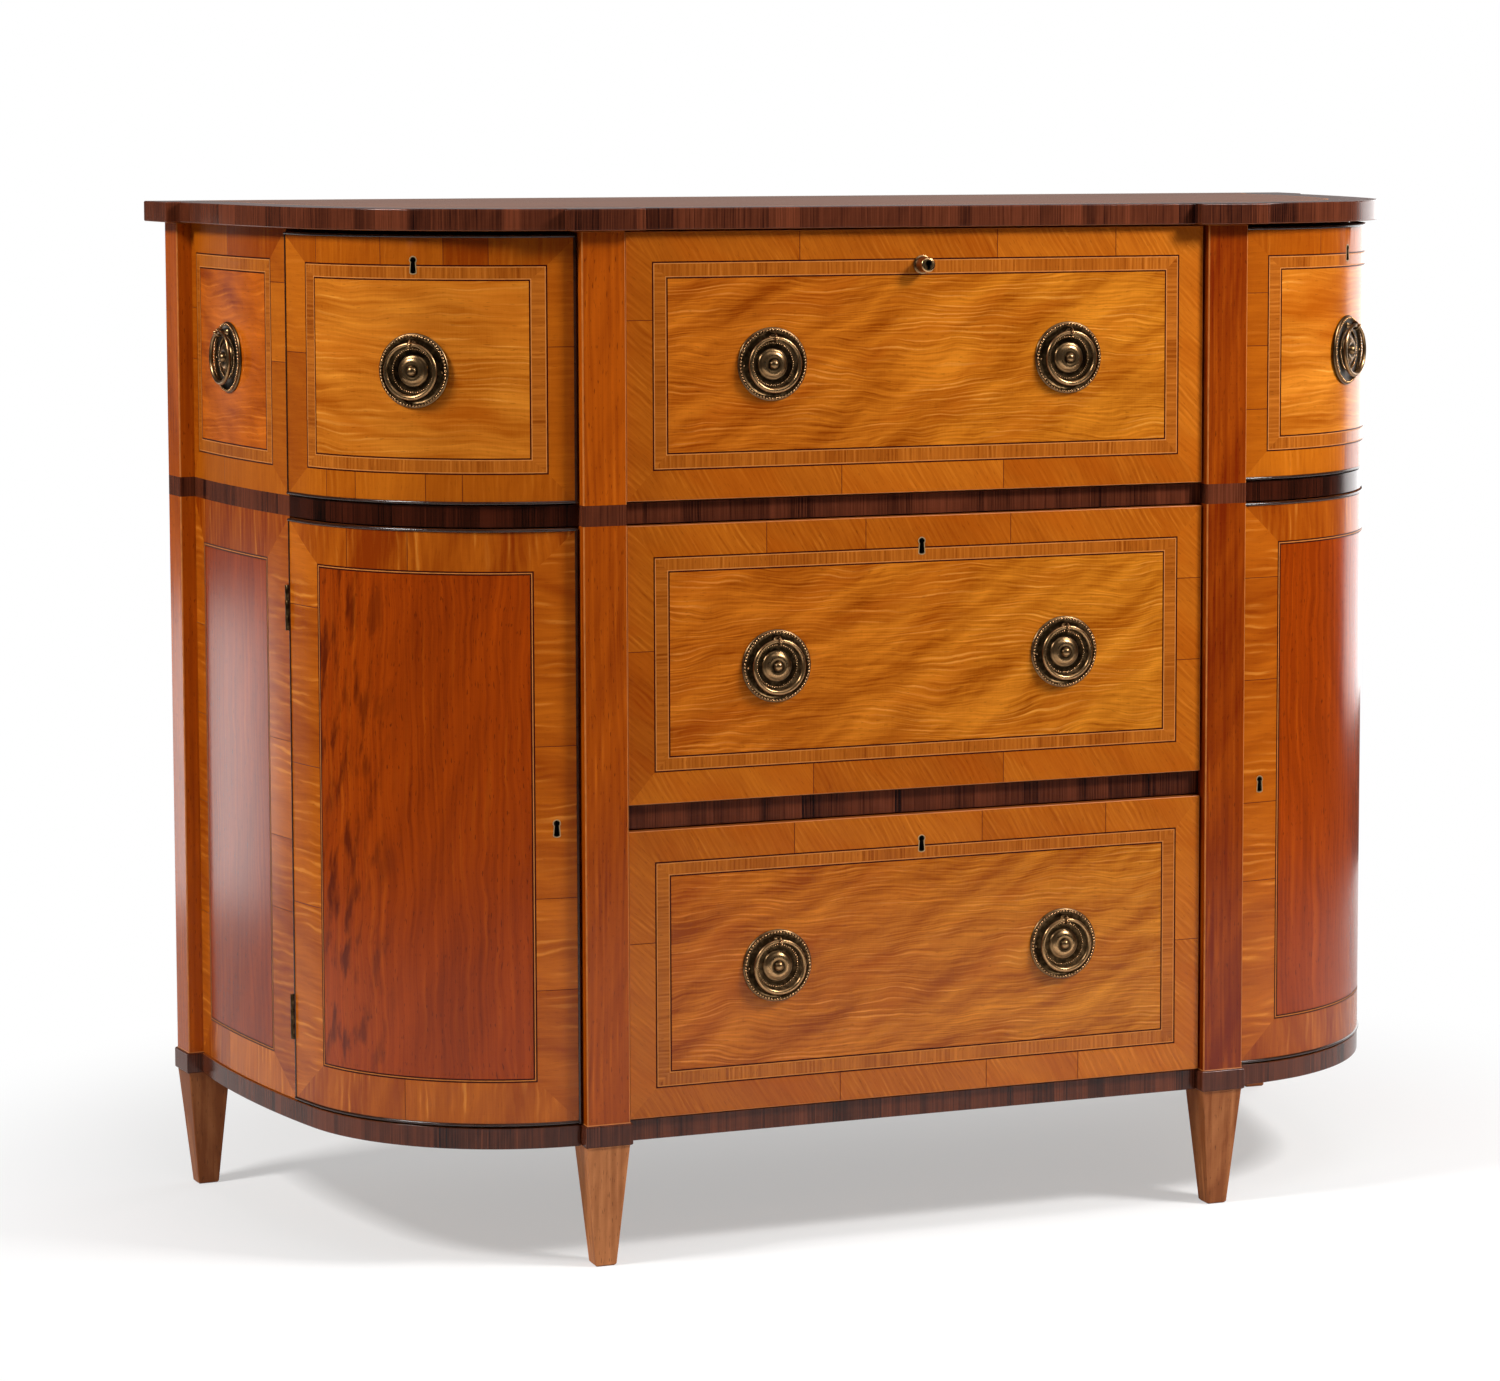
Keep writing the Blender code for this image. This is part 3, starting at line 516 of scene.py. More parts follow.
class Weave:
    """The node tree of a material or world, built by calls that return sockets."""

    def __init__(self, owner):
        owner.use_nodes = True
        self.owner = owner
        self.tree = owner.node_tree

    def feed(self, socket, value):
        if isinstance(value, bpy.types.NodeSocket):
            self.tree.links.new(value, socket)
        elif value is not None:
            socket.default_value = value

    def node(self, kind, inputs=(), output=0, **settings):
        made = self.tree.nodes.new(kind)
        for key, value in settings.items():
            setattr(made, key, value)
        for key, value in dict(inputs).items():
            self.feed(made.inputs[key], value)
        return made.outputs[output]

    def math(self, operation, first, second=None, third=None, clamp=False):
        inputs = {0: first, 1: second, 2: third}
        return self.node("ShaderNodeMath", inputs, operation=operation, use_clamp=clamp)

    def times(self, first, second):
        return self.math("MULTIPLY", first, second)

    def mix(self, factor, first, second, blend="MIX"):
        inputs = {0: factor, 6: first, 7: second}
        return self.node("ShaderNodeMix", inputs, 2, data_type="RGBA", blend_type=blend)

    def join(self, x, y, z):
        return self.node("ShaderNodeCombineXYZ", {0: x, 1: y, 2: z})

    def noise(self, vector, scale=1.0, detail=2.0):
        inputs = {"Vector": vector, "Scale": scale, "Detail": detail}
        return self.node("ShaderNodeTexNoise", inputs)

    def bump(self, height, strength, distance):
        inputs = {"Strength": strength, "Distance": distance, "Height": height}
        return self.node("ShaderNodeBump", inputs)

    def band(self, value, low, high):
        """0 below low, 1 above high, smooth between."""
        inputs = {0: value, 1: low, 2: high, 3: 0.0, 4: 1.0}
        return self.node("ShaderNodeMapRange", inputs, interpolation_type="SMOOTHSTEP")

    def share(self, value, strength):
        """A noise value turned to a swing of this strength round nought."""
        return self.math("MULTIPLY_ADD", value, 2 * strength, -strength)

    def ray(self, kind):
        return self.node("ShaderNodeLightPath", output=f"Is {kind} Ray")

    def layer(self, name):
        return self.node("ShaderNodeAttribute", output="Fac", attribute_name=name)

    def spot(self, source="Object"):
        return self.node("ShaderNodeTexCoord", output=source)

    def axes(self, source="Object", order=(0, 1, 2)):
        """The coordinates of UV or Object as separate sockets, in this order."""
        split = self.node("ShaderNodeSeparateXYZ", {0: self.spot(source)}).node
        return [split.outputs[axis] for axis in order]

    def dress(self, looks):
        """Feeds the surface's inputs by their names, and returns the material."""
        for name, value in looks.items():
            self.feed(self.tree.nodes["Principled BSDF"].inputs[name], value)
        return self.owner


def new_finish(name):
    return Weave(bpy.data.materials.new(f"{name}_finish"))


# Woods. Colours are dark, light and gleaming. Waves bend the grain. The layers are fibre, streak,
# blotch and ripple. Waves and layers say how fine they are along and across, and their strength.
USUAL = {"fleck": 0.3, "rough": 0.20, "lean": 0.35, "ticks": 0.05}
FINE_WAVE = (60, 60, 0.0008)
END_WAVES = ((4, 9, 0.022), (14, 26, 0.006), FINE_WAVE)
ROSEWOOD = dict(
    colours=((0.014, 0.003, 0.002), (0.160, 0.038, 0.015), (0.24, 0.080, 0.035)),
    waves=((20, 30, 0.001),),
    layers=((10, 1700, 0.30), (3, 480, 0.36), (14, 70, 0.16), (9, 900, 0.20)),
    tone=0.15, gleam=0.05, fleck=0.1, rough=0.18, slips=5.0,
)
WOODS = {
    "satinwood_figure": dict(
        colours=((0.270, 0.052, 0.0006), (0.66, 0.205, 0.012), (0.95, 0.44, 0.080)),
        waves=((5, 10, 0.020), (14, 28, 0.0065), FINE_WAVE),
        layers=((28, 1600, 0.18), (18, 600, 0.50), (13, 44, 0.54), (8, 520, 0.16)),
        tone=0.03, gleam=0.24, lean=0.45, ticks=0.10,
        rose=((0.45, 0.098, 0.0040), 9, 30, 0.35),
        # drift: painted light from the right, the field darker and redder to the left and lighter to
        # the right; reach, and the tints at the left and at the right
        drift=(0.24, (0.95, 0.82, 0.8), (1.05, 1.13, 1.15)),
    ),
    "end_figure": dict(
        colours=((0.35, 0.072, 0.0015), (0.74, 0.245, 0.019), (0.97, 0.46, 0.090)),
        waves=END_WAVES,
        layers=((28, 1500, 0.16), (10, 300, 0.36), (8, 30, 0.62), (8, 420, 0.12)),
        tone=0.03, gleam=0.20, lean=0.15, ticks=0.10,
        rose=((0.50, 0.110, 0.0040), 9, 26, 0.35),
    ),
    # The faux drawers' figure: the curved drawers' veneer made darker and redder with painted shade
    # for the side, with a quieter figure
    "side_figure": dict(
        colours=((0.26, 0.038, 0.0004), (0.63, 0.137, 0.005), (0.85, 0.29, 0.035)),
        waves=END_WAVES,
        layers=((28, 1500, 0.16), (10, 300, 0.30), (16, 40, 0.60), (8, 420, 0.12)),
        tone=0.03, gleam=0.14, lean=0.25, ticks=0.10,
        rose=((0.40, 0.070, 0.0020), 9, 26, 0.35),
    ),
    "border": dict(
        colours=((0.250, 0.038, 0.0005), (0.59, 0.162, 0.009), (0.76, 0.29, 0.040)),
        waves=((12, 16, 0.006),),
        layers=((60, 1400, 0.12), (24, 420, 0.20), (9, 24, 0.22), (26, 430, 0.14)),
        tone=0.09, gleam=0.08,
        rose=((0.40, 0.070, 0.0010), 8, 22, 0.35),
    ),
    "end_border": dict(
        colours=((0.245, 0.036, 0.0004), (0.57, 0.150, 0.006), (0.74, 0.27, 0.035)),
        waves=((14, 30, 0.004), FINE_WAVE),
        layers=((40, 1400, 0.14), (16, 320, 0.14), (12, 30, 0.18), (16, 330, 0.08)),
        tone=0.14, gleam=0.08, fleck=0.25,
    ),
    "door_border": dict(
        colours=((0.235, 0.030, 0.0004), (0.57, 0.140, 0.006), (0.82, 0.32, 0.045)),
        waves=((14, 30, 0.006), (60, 60, 0.0012)),
        layers=((34, 1400, 0.14), (14, 300, 0.20), (7, 36, 0.34), (12, 260, 0.18)),
        tone=0.12, gleam=0.24, fleck=0.2,
    ),
    "crossband": dict(
        colours=((0.230, 0.043, 0.002), (0.54, 0.155, 0.014), (0.66, 0.24, 0.045)),
        waves=((20, 20, 0.001),),
        layers=((20, 1500, 0.20), (4, 380, 0.40), (20, 60, 0.12), (14, 600, 0.20)),
        tone=0.08, gleam=0.10, fleck=0.35,
    ),
    "door_figure": dict(
        colours=((0.130, 0.010, 0.0001), (0.44, 0.061, 0.0008), (0.60, 0.17, 0.008)),
        waves=((2.4, 9, 0.020), (14, 26, 0.006), (50, 50, 0.001)),
        layers=((14, 1300, 0.14), (4, 300, 0.28), (4, 26, 0.24), (5, 240, 0.10)),
        tone=0.04, gleam=0.06, fleck=0.6, knots=0.80,
    ),
    "stile_wood": dict(
        colours=((0.165, 0.015, 0.0003), (0.50, 0.095, 0.0025), (0.64, 0.19, 0.014)),
        waves=((3, 14, 0.008),),
        layers=((12, 1400, 0.18), (4, 300, 0.24), (5, 30, 0.30), (8, 300, 0.20)),
        tone=0.22, gleam=0.08, fleck=0.6,
    ),
    "foot_wood": dict(
        colours=((0.24, 0.064, 0.013), (0.66, 0.25, 0.085), (0.75, 0.36, 0.14)),
        waves=((6, 20, 0.004),),
        layers=((20, 1400, 0.20), (4, 130, 0.24), (12, 40, 0.34), (14, 300, 0.16)),
        tone=0.20, gleam=0.05, fleck=0.6, rough=0.50,
    ),
    "rosewood": ROSEWOOD,
    # Rosewood darkened with painted shade, for the curved rails' facings that lie in shadow under
    # the drawers
    "shaded_rosewood": ROSEWOOD
    | {"colours": ((0.003, 0.001, 0.0005), (0.060, 0.011, 0.004), (0.12, 0.03, 0.012))},
    "top_field": dict(
        colours=((0.150, 0.040, 0.010), (0.32, 0.105, 0.034), (0.36, 0.15, 0.06)),
        waves=((2.5, 12, 0.010),),
        layers=((10, 1300, 0.16), (1.8, 80, 0.24), (2.5, 14, 0.24), (6, 250, 0.14)),
        tone=0.03, gleam=0.04, fleck=0.4, rough=0.24,
    ),
    "side_grain": dict(
        colours=((0.15, 0.030, 0.003), (0.32, 0.078, 0.009), (0.40, 0.13, 0.02)),
        waves=((5, 20, 0.003),),
        layers=((14, 1200, 0.20), (3, 100, 0.24), (6, 24, 0.16), (10, 260, 0.10)),
        tone=0.04, gleam=0.03, fleck=0.4, rough=0.50,
    ),
    "lining_wood": dict(
        colours=((0.24, 0.115, 0.045), (0.50, 0.30, 0.150), (0.58, 0.38, 0.21)),
        waves=((2.5, 16, 0.010),),
        layers=((9, 900, 0.22), (1.8, 75, 0.28), (3, 12, 0.18), (7, 200, 0.14)),
        tone=0.04, gleam=0.03, rough=0.66,
    ),
}
# How fine the patches of gleaming ripple are, the pores' ticks and the specks
PATCH, TICKS, SPECKS = (9, 30), (900, 70), (140, 900)
# Where the stained strip of a door's figure begins and ends, by its distance from the middle, and
# its stains: how fine along and across, their detail and lean
STAIN_IN, STAIN_OUT, STAINS = (0.435, 0.485), (0.503, 0.497), (24.0, 95.0, 4.0, 0.1)
# Values between which each mask rises: patches, breaks in the lines, gleam, blush, stains, specks
PATCHY, BROKEN, GLEAMING, BLUSHING = (0.34, 0.66), (0.32, 0.66), (0.62, 0.98), (0.46, 0.66)
STAINED, SPECKED = (0.47, 0.68), (0.71, 0.79)
# How much more a streak or blotch swings than its strength says, and the growth lines' wander and
# their spacing
SWING, LINE_WANDER, LINE_SPACING = 1.6, 4.2, 2.2


def growth_lines(t, figure, y, along, across):
    """Thin wavy lines that run on side by side, at uneven spacing, with soft breaks."""
    slip = t.share(figure(along, 0.16 * across, 2.0), LINE_WANDER)
    phase = t.math("MULTIPLY_ADD", y, 2 * math.pi * across / LINE_SPACING, slip)
    rows = t.math("MULTIPLY_ADD", t.math("SINE", phase), 0.5, 0.5)
    mask = figure(1.6 * along, 0.5 * across, 1.0)
    part = t.times(t.math("SUBTRACT", rows, 0.5), t.band(mask, *BROKEN))
    return t.math("ADD", part, figure(along, across, 1.0))


def wood(name, source="UV", order=(0, 1, 2), recipe=None):
    """A wood finish: grain drawn along the first coordinate, waved, streaked and flecked."""
    look = USUAL | WOODS[recipe or name]
    dark, light, gleaming = look["colours"]
    t = new_finish(name)
    x, y, z = t.axes(source, order)
    slip = t.layer("tone")
    if "slips" in look:
        z = t.math("MULTIPLY_ADD", slip, look["slips"], z)
    for along, across, reach in look["waves"]:
        bend = t.noise(t.join(t.times(x, along), t.times(y, across), z))
        y = t.math("ADD", y, t.share(bend, reach))

    def figure(along, across, detail=2.0, lean=0.0):
        rise = t.math("MULTIPLY_ADD", x, -across * lean, t.times(y, across))
        return t.noise(t.join(t.times(x, along), rise, z), detail=detail)

    (*grain, fibred), (*streak, streaked), (*blotch, blotched), (*ripple, rippled) = look["layers"]
    fibre = figure(*grain, 3.0)
    lines = growth_lines(t, figure, y, *ripple)
    patch = t.band(figure(*PATCH, 1.0, look["lean"]), *PATCHY)
    ticks = t.noise(t.join(t.times(x, TICKS[0]), t.times(y, TICKS[1]), z))
    level = 0.5
    for value, strength in (
        (fibre, fibred),
        (figure(*streak), SWING * streaked),
        (figure(*blotch, 3.0, look["lean"]), SWING * blotched),
        (t.math("MULTIPLY_ADD", patch, t.math("SUBTRACT", lines, 0.5), 0.5), rippled),
        (ticks, look["ticks"]),
    ):
        level = t.math("ADD", level, t.share(value, strength))
    level = t.math("MULTIPLY_ADD", slip, look["tone"], level, clamp=True)
    base = t.mix(level, colour(dark), colour(light))
    gleam = t.times(t.times(t.band(lines, *GLEAMING), patch), t.times(level, 2 * look["gleam"]))
    base = t.mix(gleam, base, colour(gleaming))
    if "rose" in look:
        tint, along, across, strength = look["rose"]
        blush = t.band(figure(along, across, 3.0, look["lean"]), *BLUSHING)
        base = t.mix(t.times(blush, strength), base, colour(tint))
    # Painted light: the field turns darker and redder to the left and lighter to the right, as if
    # lit from the right
    if "drift" in look:
        reach, *tints = look["drift"]
        drift = t.mix(t.band(t.axes()[0], -reach, reach), *map(colour, tints))
        base = t.mix(1.0, base, drift, "MULTIPLY")
    if "knots" in look:
        aside = t.math("ABSOLUTE", t.axes()[0])
        strip = t.times(t.band(aside, *STAIN_IN), t.band(aside, *STAIN_OUT))
        strip = t.times(strip, look["knots"])
        base = t.mix(t.times(strip, t.share(fibre, 0.5)), base, colour(gleaming))
        stain = t.times(t.band(figure(*STAINS), *STAINED), strip)
        base = t.mix(stain, base, colour((0.5 * dark[0], 0.5 * dark[1], dark[2])))
    specks = t.times(t.band(figure(*SPECKS, 0.0), *SPECKED), look["fleck"])
    return t.dress({
        "Base Color": t.mix(specks, base, colour([0.35 * part for part in dark])),
        "Roughness": t.math("MULTIPLY_ADD", fibre, 0.10, look["rough"] - 0.05),
        "Specular IOR Level": 0.25,
        "Normal": t.bump(fibre, 0.06, 0.0005),
    })


def plain(name, rgb, rough, metallic=0.0, mottle=0.25, scale=90.0, specular=0.5):
    """A quiet finish that only varies a little in shade and gloss."""
    t = new_finish(name)
    cloud = t.noise(t.spot(), scale, 3.0)
    dark, light = ([min(1.0, part * share) for part in rgb] for share in (1 - mottle, 1 + mottle))
    return t.dress({
        "Base Color": t.mix(cloud, colour(dark), colour(light)),
        "Roughness": t.math("MULTIPLY_ADD", cloud, 0.16, rough - 0.08),
        "Metallic": metallic,
        "Specular IOR Level": specular,
    })


def brass(name):
    """Old brass: bright where the wear attribute is high, dark patina in the hollows."""
    t = new_finish(name)
    cloud = t.share(t.noise(t.spot(), 240.0, 4.0), 0.35)
    level = t.math("ADD", t.layer("wear"), cloud, clamp=True)
    return t.dress({
        "Base Color": t.mix(level, colour((0.033, 0.019, 0.008)), colour((0.50, 0.295, 0.135))),
        "Roughness": t.math("MULTIPLY_ADD", level, -0.14, 0.38),
        "Metallic": 1.0,
        "Normal": t.bump(t.noise(t.spot(), 1400.0), 0.12, 0.0002),
    })


def leather(name):
    t = new_finish(name)
    cloud = t.noise(t.spot(), 14.0, 4.0)
    grain = t.node("ShaderNodeTexVoronoi", {"Vector": t.spot(), "Scale": 900.0})
    return t.dress({
        "Base Color": t.mix(cloud, colour((0.018, 0.045, 0.020)), colour((0.045, 0.095, 0.045))),
        "Roughness": 0.5,
        "Normal": t.bump(grain, 0.25, 0.0004),
    })


# Quiet finishes: colour, roughness, metal, mottling, how fine it is, and gloss
PLAIN = {
    "black_string": ((0.045, 0.003, 0.0002), 0.4, 0.0, 0.5, 260.0, 0.1),
    "pale_string": ((0.56, 0.195, 0.040), 0.4, 0.0, 0.35, 160.0, 0.1),
    # Pale rounded edges: wear, with a painted highlight
    "worn_edge": ((0.48, 0.145, 0.025), 0.40, 0.0, 0.45, 120.0, 0.25),
    "joint_line": ((0.12, 0.015, 0.0006), 0.4, 0.0, 0.4, 200.0, 0.1),
    "liner": ((0.42, 0.28, 0.13), 0.45, 0.5, 0.3, 300.0),
    "black_bead": ((0.030, 0.010, 0.005), 0.20, 0.0, 0.5, 140.0),
    # Near-black walls inside a keyhole: painted shade
    "keyhole_dark": ((0.004, 0.003, 0.003), 0.7),
    "gilt_line": ((0.62, 0.42, 0.16), 0.4, 1.0),
}

# Finishes of the nodes that stay in view: the axes along, across and through the grain, the wood,
# and the nodes
LININGS = {
    "lining_level": (
        (0, 1, 2),
        "lining_wood",
        "back_panel bottom_board secretaire_tray middle_drawer_box bottom_drawer_box",
    ),
    "lining_deep": (
        (1, 0, 2),
        "lining_wood",
        "left_drawer_box right_drawer_box drawer_guide_left drawer_guide_right "
        "shelf_left shelf_right centre_divider_upper centre_divider_lower "
        "side_divider_left side_divider_right",
    ),
    "lining_upright": ((2, 0, 1), "lining_wood", "partition_left partition_right"),
    "satinwood_inside": ((0, 2, 1), "border", "secretaire_pigeonholes"),
}


def finish(name):
    """The material of this name, made once."""
    made = bpy.data.materials.get(f"{name}_finish")
    if made:
        return made
    if name in PLAIN:
        return plain(name, *PLAIN[name])
    if name in LININGS:
        return wood(name, "Object", *LININGS[name][:2])
    return {"brass": brass, "leather": leather}.get(name, wood)(name)


# Carcase


def post_plan():
    """Plan of the right rear post, and its outward and backward directions."""
    outward = Vector((math.cos(POST_SPLAY), -math.sin(POST_SPLAY)))
    backward = Vector((math.sin(POST_SPLAY), math.cos(POST_SPLAY)))
    corner = wall(WALL_LENGTH, POST_STEP)
    back = corner + POST_DEPTH * backward
    inner = corner - STILE_SIZE * wall_normal(WALL_LENGTH)
    return [corner, back, Vector((inner.x, back.y)), inner], outward, backward


def top_rows(widths):
    """Right half of the top's outline, with the points this far inside it beside each."""
    plan, outward, backward = post_plan()
    reach = STILE_SIZE / 2 + TOP_OVERHANG
    left, right = STILE_CENTRE_X - reach, STILE_CENTRE_X + reach
    recess, front = wall(0, TOP_OVERHANG).y, STILE_FRONT - TOP_OVERHANG
    first = length_at(right, TOP_OVERHANG)
    last = WALL_LENGTH - TOP_OVERHANG
    steps = math.ceil((last - first) / BEND_STEP)
    ear = plan[0] + TOP_OVERHANG * (outward - backward)
    ear_back = ear + backward * ((CAD_BOX[1][1] - ear.y) / backward.y)
    rows = []
    for x, y, slide in ((left, recess, TOP_OVERHANG), (left, front, 0.0), (right, front, 0.0)):
        ease = min(x - slide, wall(first, TOP_OVERHANG - widths[-1]).x)
        rows.append([Vector((x, y))] + [Vector((ease, recess + width)) for width in widths[1:]])
    for step in range(steps + 1):
        length = first + (last - first) * step / steps
        rows.append([wall(length, TOP_OVERHANG - width) for width in widths])
    rows.append([ear - width * outward + width * backward for width in widths])
    rows.append([Vector(((ear_back - width * outward).x, ear_back.y)) for width in widths])
    return rows


def full_rows(widths):
    """The whole outline from the left back corner round the front to the right back corner."""
    half = top_rows(widths)
    whole = [[Vector((-point.x, point.y)) for point in row] for row in reversed(half)] + half
    rows = []
    for here, after in zip(whole, whole[1:]):
        count = max(1, math.ceil((after[0] - here[0]).length / BEND_STEP - 0.5))
        for part in range(count):
            rows.append([p.lerp(q, part / count) for p, q in zip(here, after)])
    return rows + [half[-1]]


TOP_SEED = 7
TOP_SLIPS = (0.006, 0.035)
SMALLEST_AREA = 1e-10
WELD = 1e-6


def make_top(settings):
    """The top: crossbanded edge, crossbanded border, a pale string and a level field."""
    widths = [0.0, settings.top_band, settings.top_band + 2 * settings.pale_string]
    rows = full_rows(widths)
    kinds = ["rosewood", "pale_string", "top_field", "side_grain"]
    form, uv, tone = veneer_form()
    chance = random.Random(TOP_SEED)
    upper = [[form.verts.new((*point, TOP_Z)) for point in row] for row in rows]
    lower = [form.verts.new((*row[0], TOP_UNDER)) for row in rows]
    run, slip_end, slip_tone = 0.0, 0.0, 0.0

    def add_face(verts, kind, spots):
        first, *others = (vert.co for vert in verts)
        spans = [(a - first).cross(b - first).length for a, b in zip(others, others[1:])]
        doubled = len({tuple(vert.co) for vert in verts}) < len(verts)
        if doubled or sum(spans) < SMALLEST_AREA:
            return
        face = form.faces.new(verts)
        face.material_index = kinds.index(kind)
        face[tone] = slip_tone
        for loop, spot in zip(face.loops, spots):
            loop[uv].uv = spot

    for index in range(len(rows) - 1):
        span = (rows[index + 1][0] - rows[index][0]).length
        if run >= slip_end:
            slip_end = run + chance.uniform(*TOP_SLIPS)
            slip_tone = chance.gauss(0, 1)
        a, b, end = upper[index], upper[index + 1], run + span
        for band, kind in ((0, "rosewood"), (1, "pale_string")):
            verts = [a[band], b[band], b[band + 1], a[band + 1]]
            near, far = widths[band : band + 2]
            add_face(verts, kind, [(near, run), (near, end), (far, end), (far, run)])
        verts = [a[0], lower[index], lower[index + 1], b[0]]
        add_face(verts, "rosewood", corners_of((0.0, TOP_UNDER - TOP_Z, run, end)))
        run = end
    back = [*upper[-1], *reversed(upper[0]), lower[0], lower[-1]]
    for verts, kind in (
        (dict.fromkeys(row[-1] for row in upper), "top_field"),
        (lower, "side_grain"),
        (back, "side_grain"),
    ):
        face = form.faces.new(list(verts))
        face.material_index = kinds.index(kind)
        for loop in face.loops:
            x, y, z = loop.vert.co
            loop[uv].uv = (x, y + z)
    bmesh.ops.remove_doubles(form, verts=form.verts, dist=WELD)
    top = piece_object("top", mesh_of(form, "top", *kinds))
    fit(soften(top, settings.top_round, 3), "cabinet", "rosewood", "top_board")


# A post's foot: width of its tip and of the worn end below it, and how high that reaches. Then how
# much wider the collar is, the gap under the top, and how straight a face is that isn't rounding
FOOT_TIP, FOOT_WORN, WORN_HEIGHT = 0.019, 0.016, 0.0015
COLLAR = 0.004
POST_GAP = 0.0003
STRAIGHT = 0.97
POST_KINDS = ("foot_wood", "rosewood", "stile_wood", "worn_edge")

# How much lighter or darker each part of a post is than the middle of its wood
STILE_SHADES = {
    "left": {"foot": 0.2, "lower": -0.1, "upper": 0.95},
    "right": {"foot": -1.65, "lower": -1.45, "upper": -1.15},
}
POST_SHADES = {"foot": -2.2, "lower": 0.6, "upper": 0.6}


def post_levels():
    """Levels of a post: height, share of its size, kind of the faces above, and their part."""
    collar = (STILE_SIZE + COLLAR) / STILE_SIZE
    return [
        (0.0, FOOT_WORN / STILE_SIZE, "foot_wood", "foot"),
        (WORN_HEIGHT, FOOT_TIP / STILE_SIZE, "foot_wood", "foot"),
        (BASE_BOTTOM, 1.0, "rosewood", "band"),
        (BASE_BOTTOM, collar, "rosewood", "band"),
        (BASE_TOP, collar, "rosewood", "band"),
        (BASE_TOP, 1.0, "stile_wood", "lower"),
        (RAIL_BOTTOM, 1.0, "rosewood", "band"),
        (RAIL_TOP, 1.0, "stile_wood", "upper"),
        (TOP_UNDER - POST_GAP, 1.0, "stile_wood", "upper"),
    ]


def loft_post(name, corners, settings, shades):
    """A square post through its levels. The shades say how light each part is."""
    centre = sum(corners, Vector((0, 0))) / len(corners)
    levels = post_levels()
    form, uv, tone = veneer_form()
    rings = []
    for height, share, _, _ in levels:
        plan = [centre + (corner - centre) * share for corner in corners]
        rings.append([form.verts.new((*point, height)) for point in plan])
    chance = random.Random(name)
    shifts = [chance.uniform(0, 9) for _ in corners]
    sides = [(b - a).normalized() for a, b in zip(corners, corners[1:] + corners[:1])]
    places = [(*level[2:], here) for level in levels[:-1] for here in range(len(corners))]
    places += [("foot_wood", "foot", 0), ("stile_wood", "upper", 0)]
    faces = walls(form, rings) + [form.faces.new(rings[0][::-1]), form.faces.new(rings[-1])]
    for face, (kind, part, here) in zip(faces, places):
        face.material_index = POST_KINDS.index(kind)
        face[tone] = shades[part] if part in shades else chance.gauss(0, 0.6)
        for loop in face.loops:
            x, y, z = loop.vert.co
            loop[uv].uv = (z + shifts[here], Vector((x, y)).dot(sides[here]))
    post = soften(piece_object(name, mesh_of(form, name, *POST_KINDS)), settings.post_round)
    # The rounded arrises take the pale edge finish: wear with a painted highlight
    for face in post.data.polygons:
        facing = Vector(face.normal[:2])
        straight = max(abs(facing.dot(side)) for side in sides) >= STRAIGHT
        if POST_KINDS[face.material_index] == "stile_wood" and not straight:
            face.material_index = POST_KINDS.index("worn_edge")
    return post


def make_posts(settings):
    square = ((1, 1), (-1, 1), (-1, -1), (1, -1))
    for name, side in SIDES.items():
        centre = Vector((side * STILE_CENTRE_X, STILE_FRONT + STILE_SIZE / 2))
        corners = [centre + STILE_SIZE / 2 * Vector(turn) for turn in square]
        stile = loft_post(f"stile_{name}", corners, settings, STILE_SHADES[name])
        fit(stile, "cabinet", "stile_wood", f"front_stile_{name}")
        plan = [Vector((side * x, y)) for x, y in post_plan()[0]]
        post = loft_post(f"post_{name}", plan, settings, POST_SHADES)
        fit(post, "cabinet", "stile_wood", f"rear_post_{name}")


# The base bands' gap to the collars, their depth on the curve, the facings' gap and their depth
BAND_GAP, BAND_DEPTH = 0.0023, 0.003
FACING_GAP, FACING_DEPTH = 0.0003, 0.001


def make_bands(settings):
    """Crossbanded rosewood on the rails' fronts and round the base."""

    def band(name, kind, rect, place, depth, bend, *nodes):
        slab = veneer_slab(name, [[(kind, rect)]], place, depth, bend)
        fit(soften(slab, settings.band_round) if nodes else slab, "cabinet", "rosewood", *nodes)

    for name, side in SIDES.items():
        rect = (BAND_GAP, WALL_LENGTH - BAND_GAP, BASE_BOTTOM, BASE_TOP)
        place = curved_place(side, CURVED_PROUD)
        band(f"base_{name}", "rosewood", rect, place, BAND_DEPTH, True, f"base_band_{name}")
        # The curved rails' facings are rosewood darkened with painted shade
        rect = (FACING_GAP, JOINT_LENGTH - FACING_GAP, RAIL_BOTTOM, RAIL_TOP)
        place = curved_place(side, settings.facing)
        band(f"rail_facing_{name}", "shaded_rosewood", rect, place, FACING_DEPTH, True)
    stile_inner = STILE_CENTRE_X - STILE_SIZE / 2
    reach = stile_inner - BAND_GAP
    low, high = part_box("base_band_centre")
    rect = (-reach, reach, BASE_BOTTOM, BASE_TOP)
    place, depth = flat_place(low.y), high.y - low.y
    band("base_centre", "rosewood", rect, place, depth, False, "base_band_centre")
    reach = stile_inner - FACING_GAP
    for name in ("upper", "lower"):
        low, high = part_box(f"centre_divider_{name}")
        rect = (-reach, reach, low.z, high.z)
        place = flat_place(low.y - settings.facing)
        band(f"rail_facing_{name}", "rosewood", rect, place, FACING_DEPTH, False)


# Keyholes: radius of the round end, width at the waist and at the foot, and height
KEYHOLE = (0.0026, 0.0036, 0.0050, 0.0138)
LOCK_KEYHOLE = (0.0026, 0.0026, 0.0028, 0.0078)
KEYHOLE_DEPTH, LOCK_KEYHOLE_DEPTH = 0.012, 0.008
CUTTER_PROUD = 0.004
LINER, LINER_PROUD, LINER_SUNK = 0.0008, 0.0002, 0.0015
ROUND_STEPS, FOOT_STEPS = 20, 6


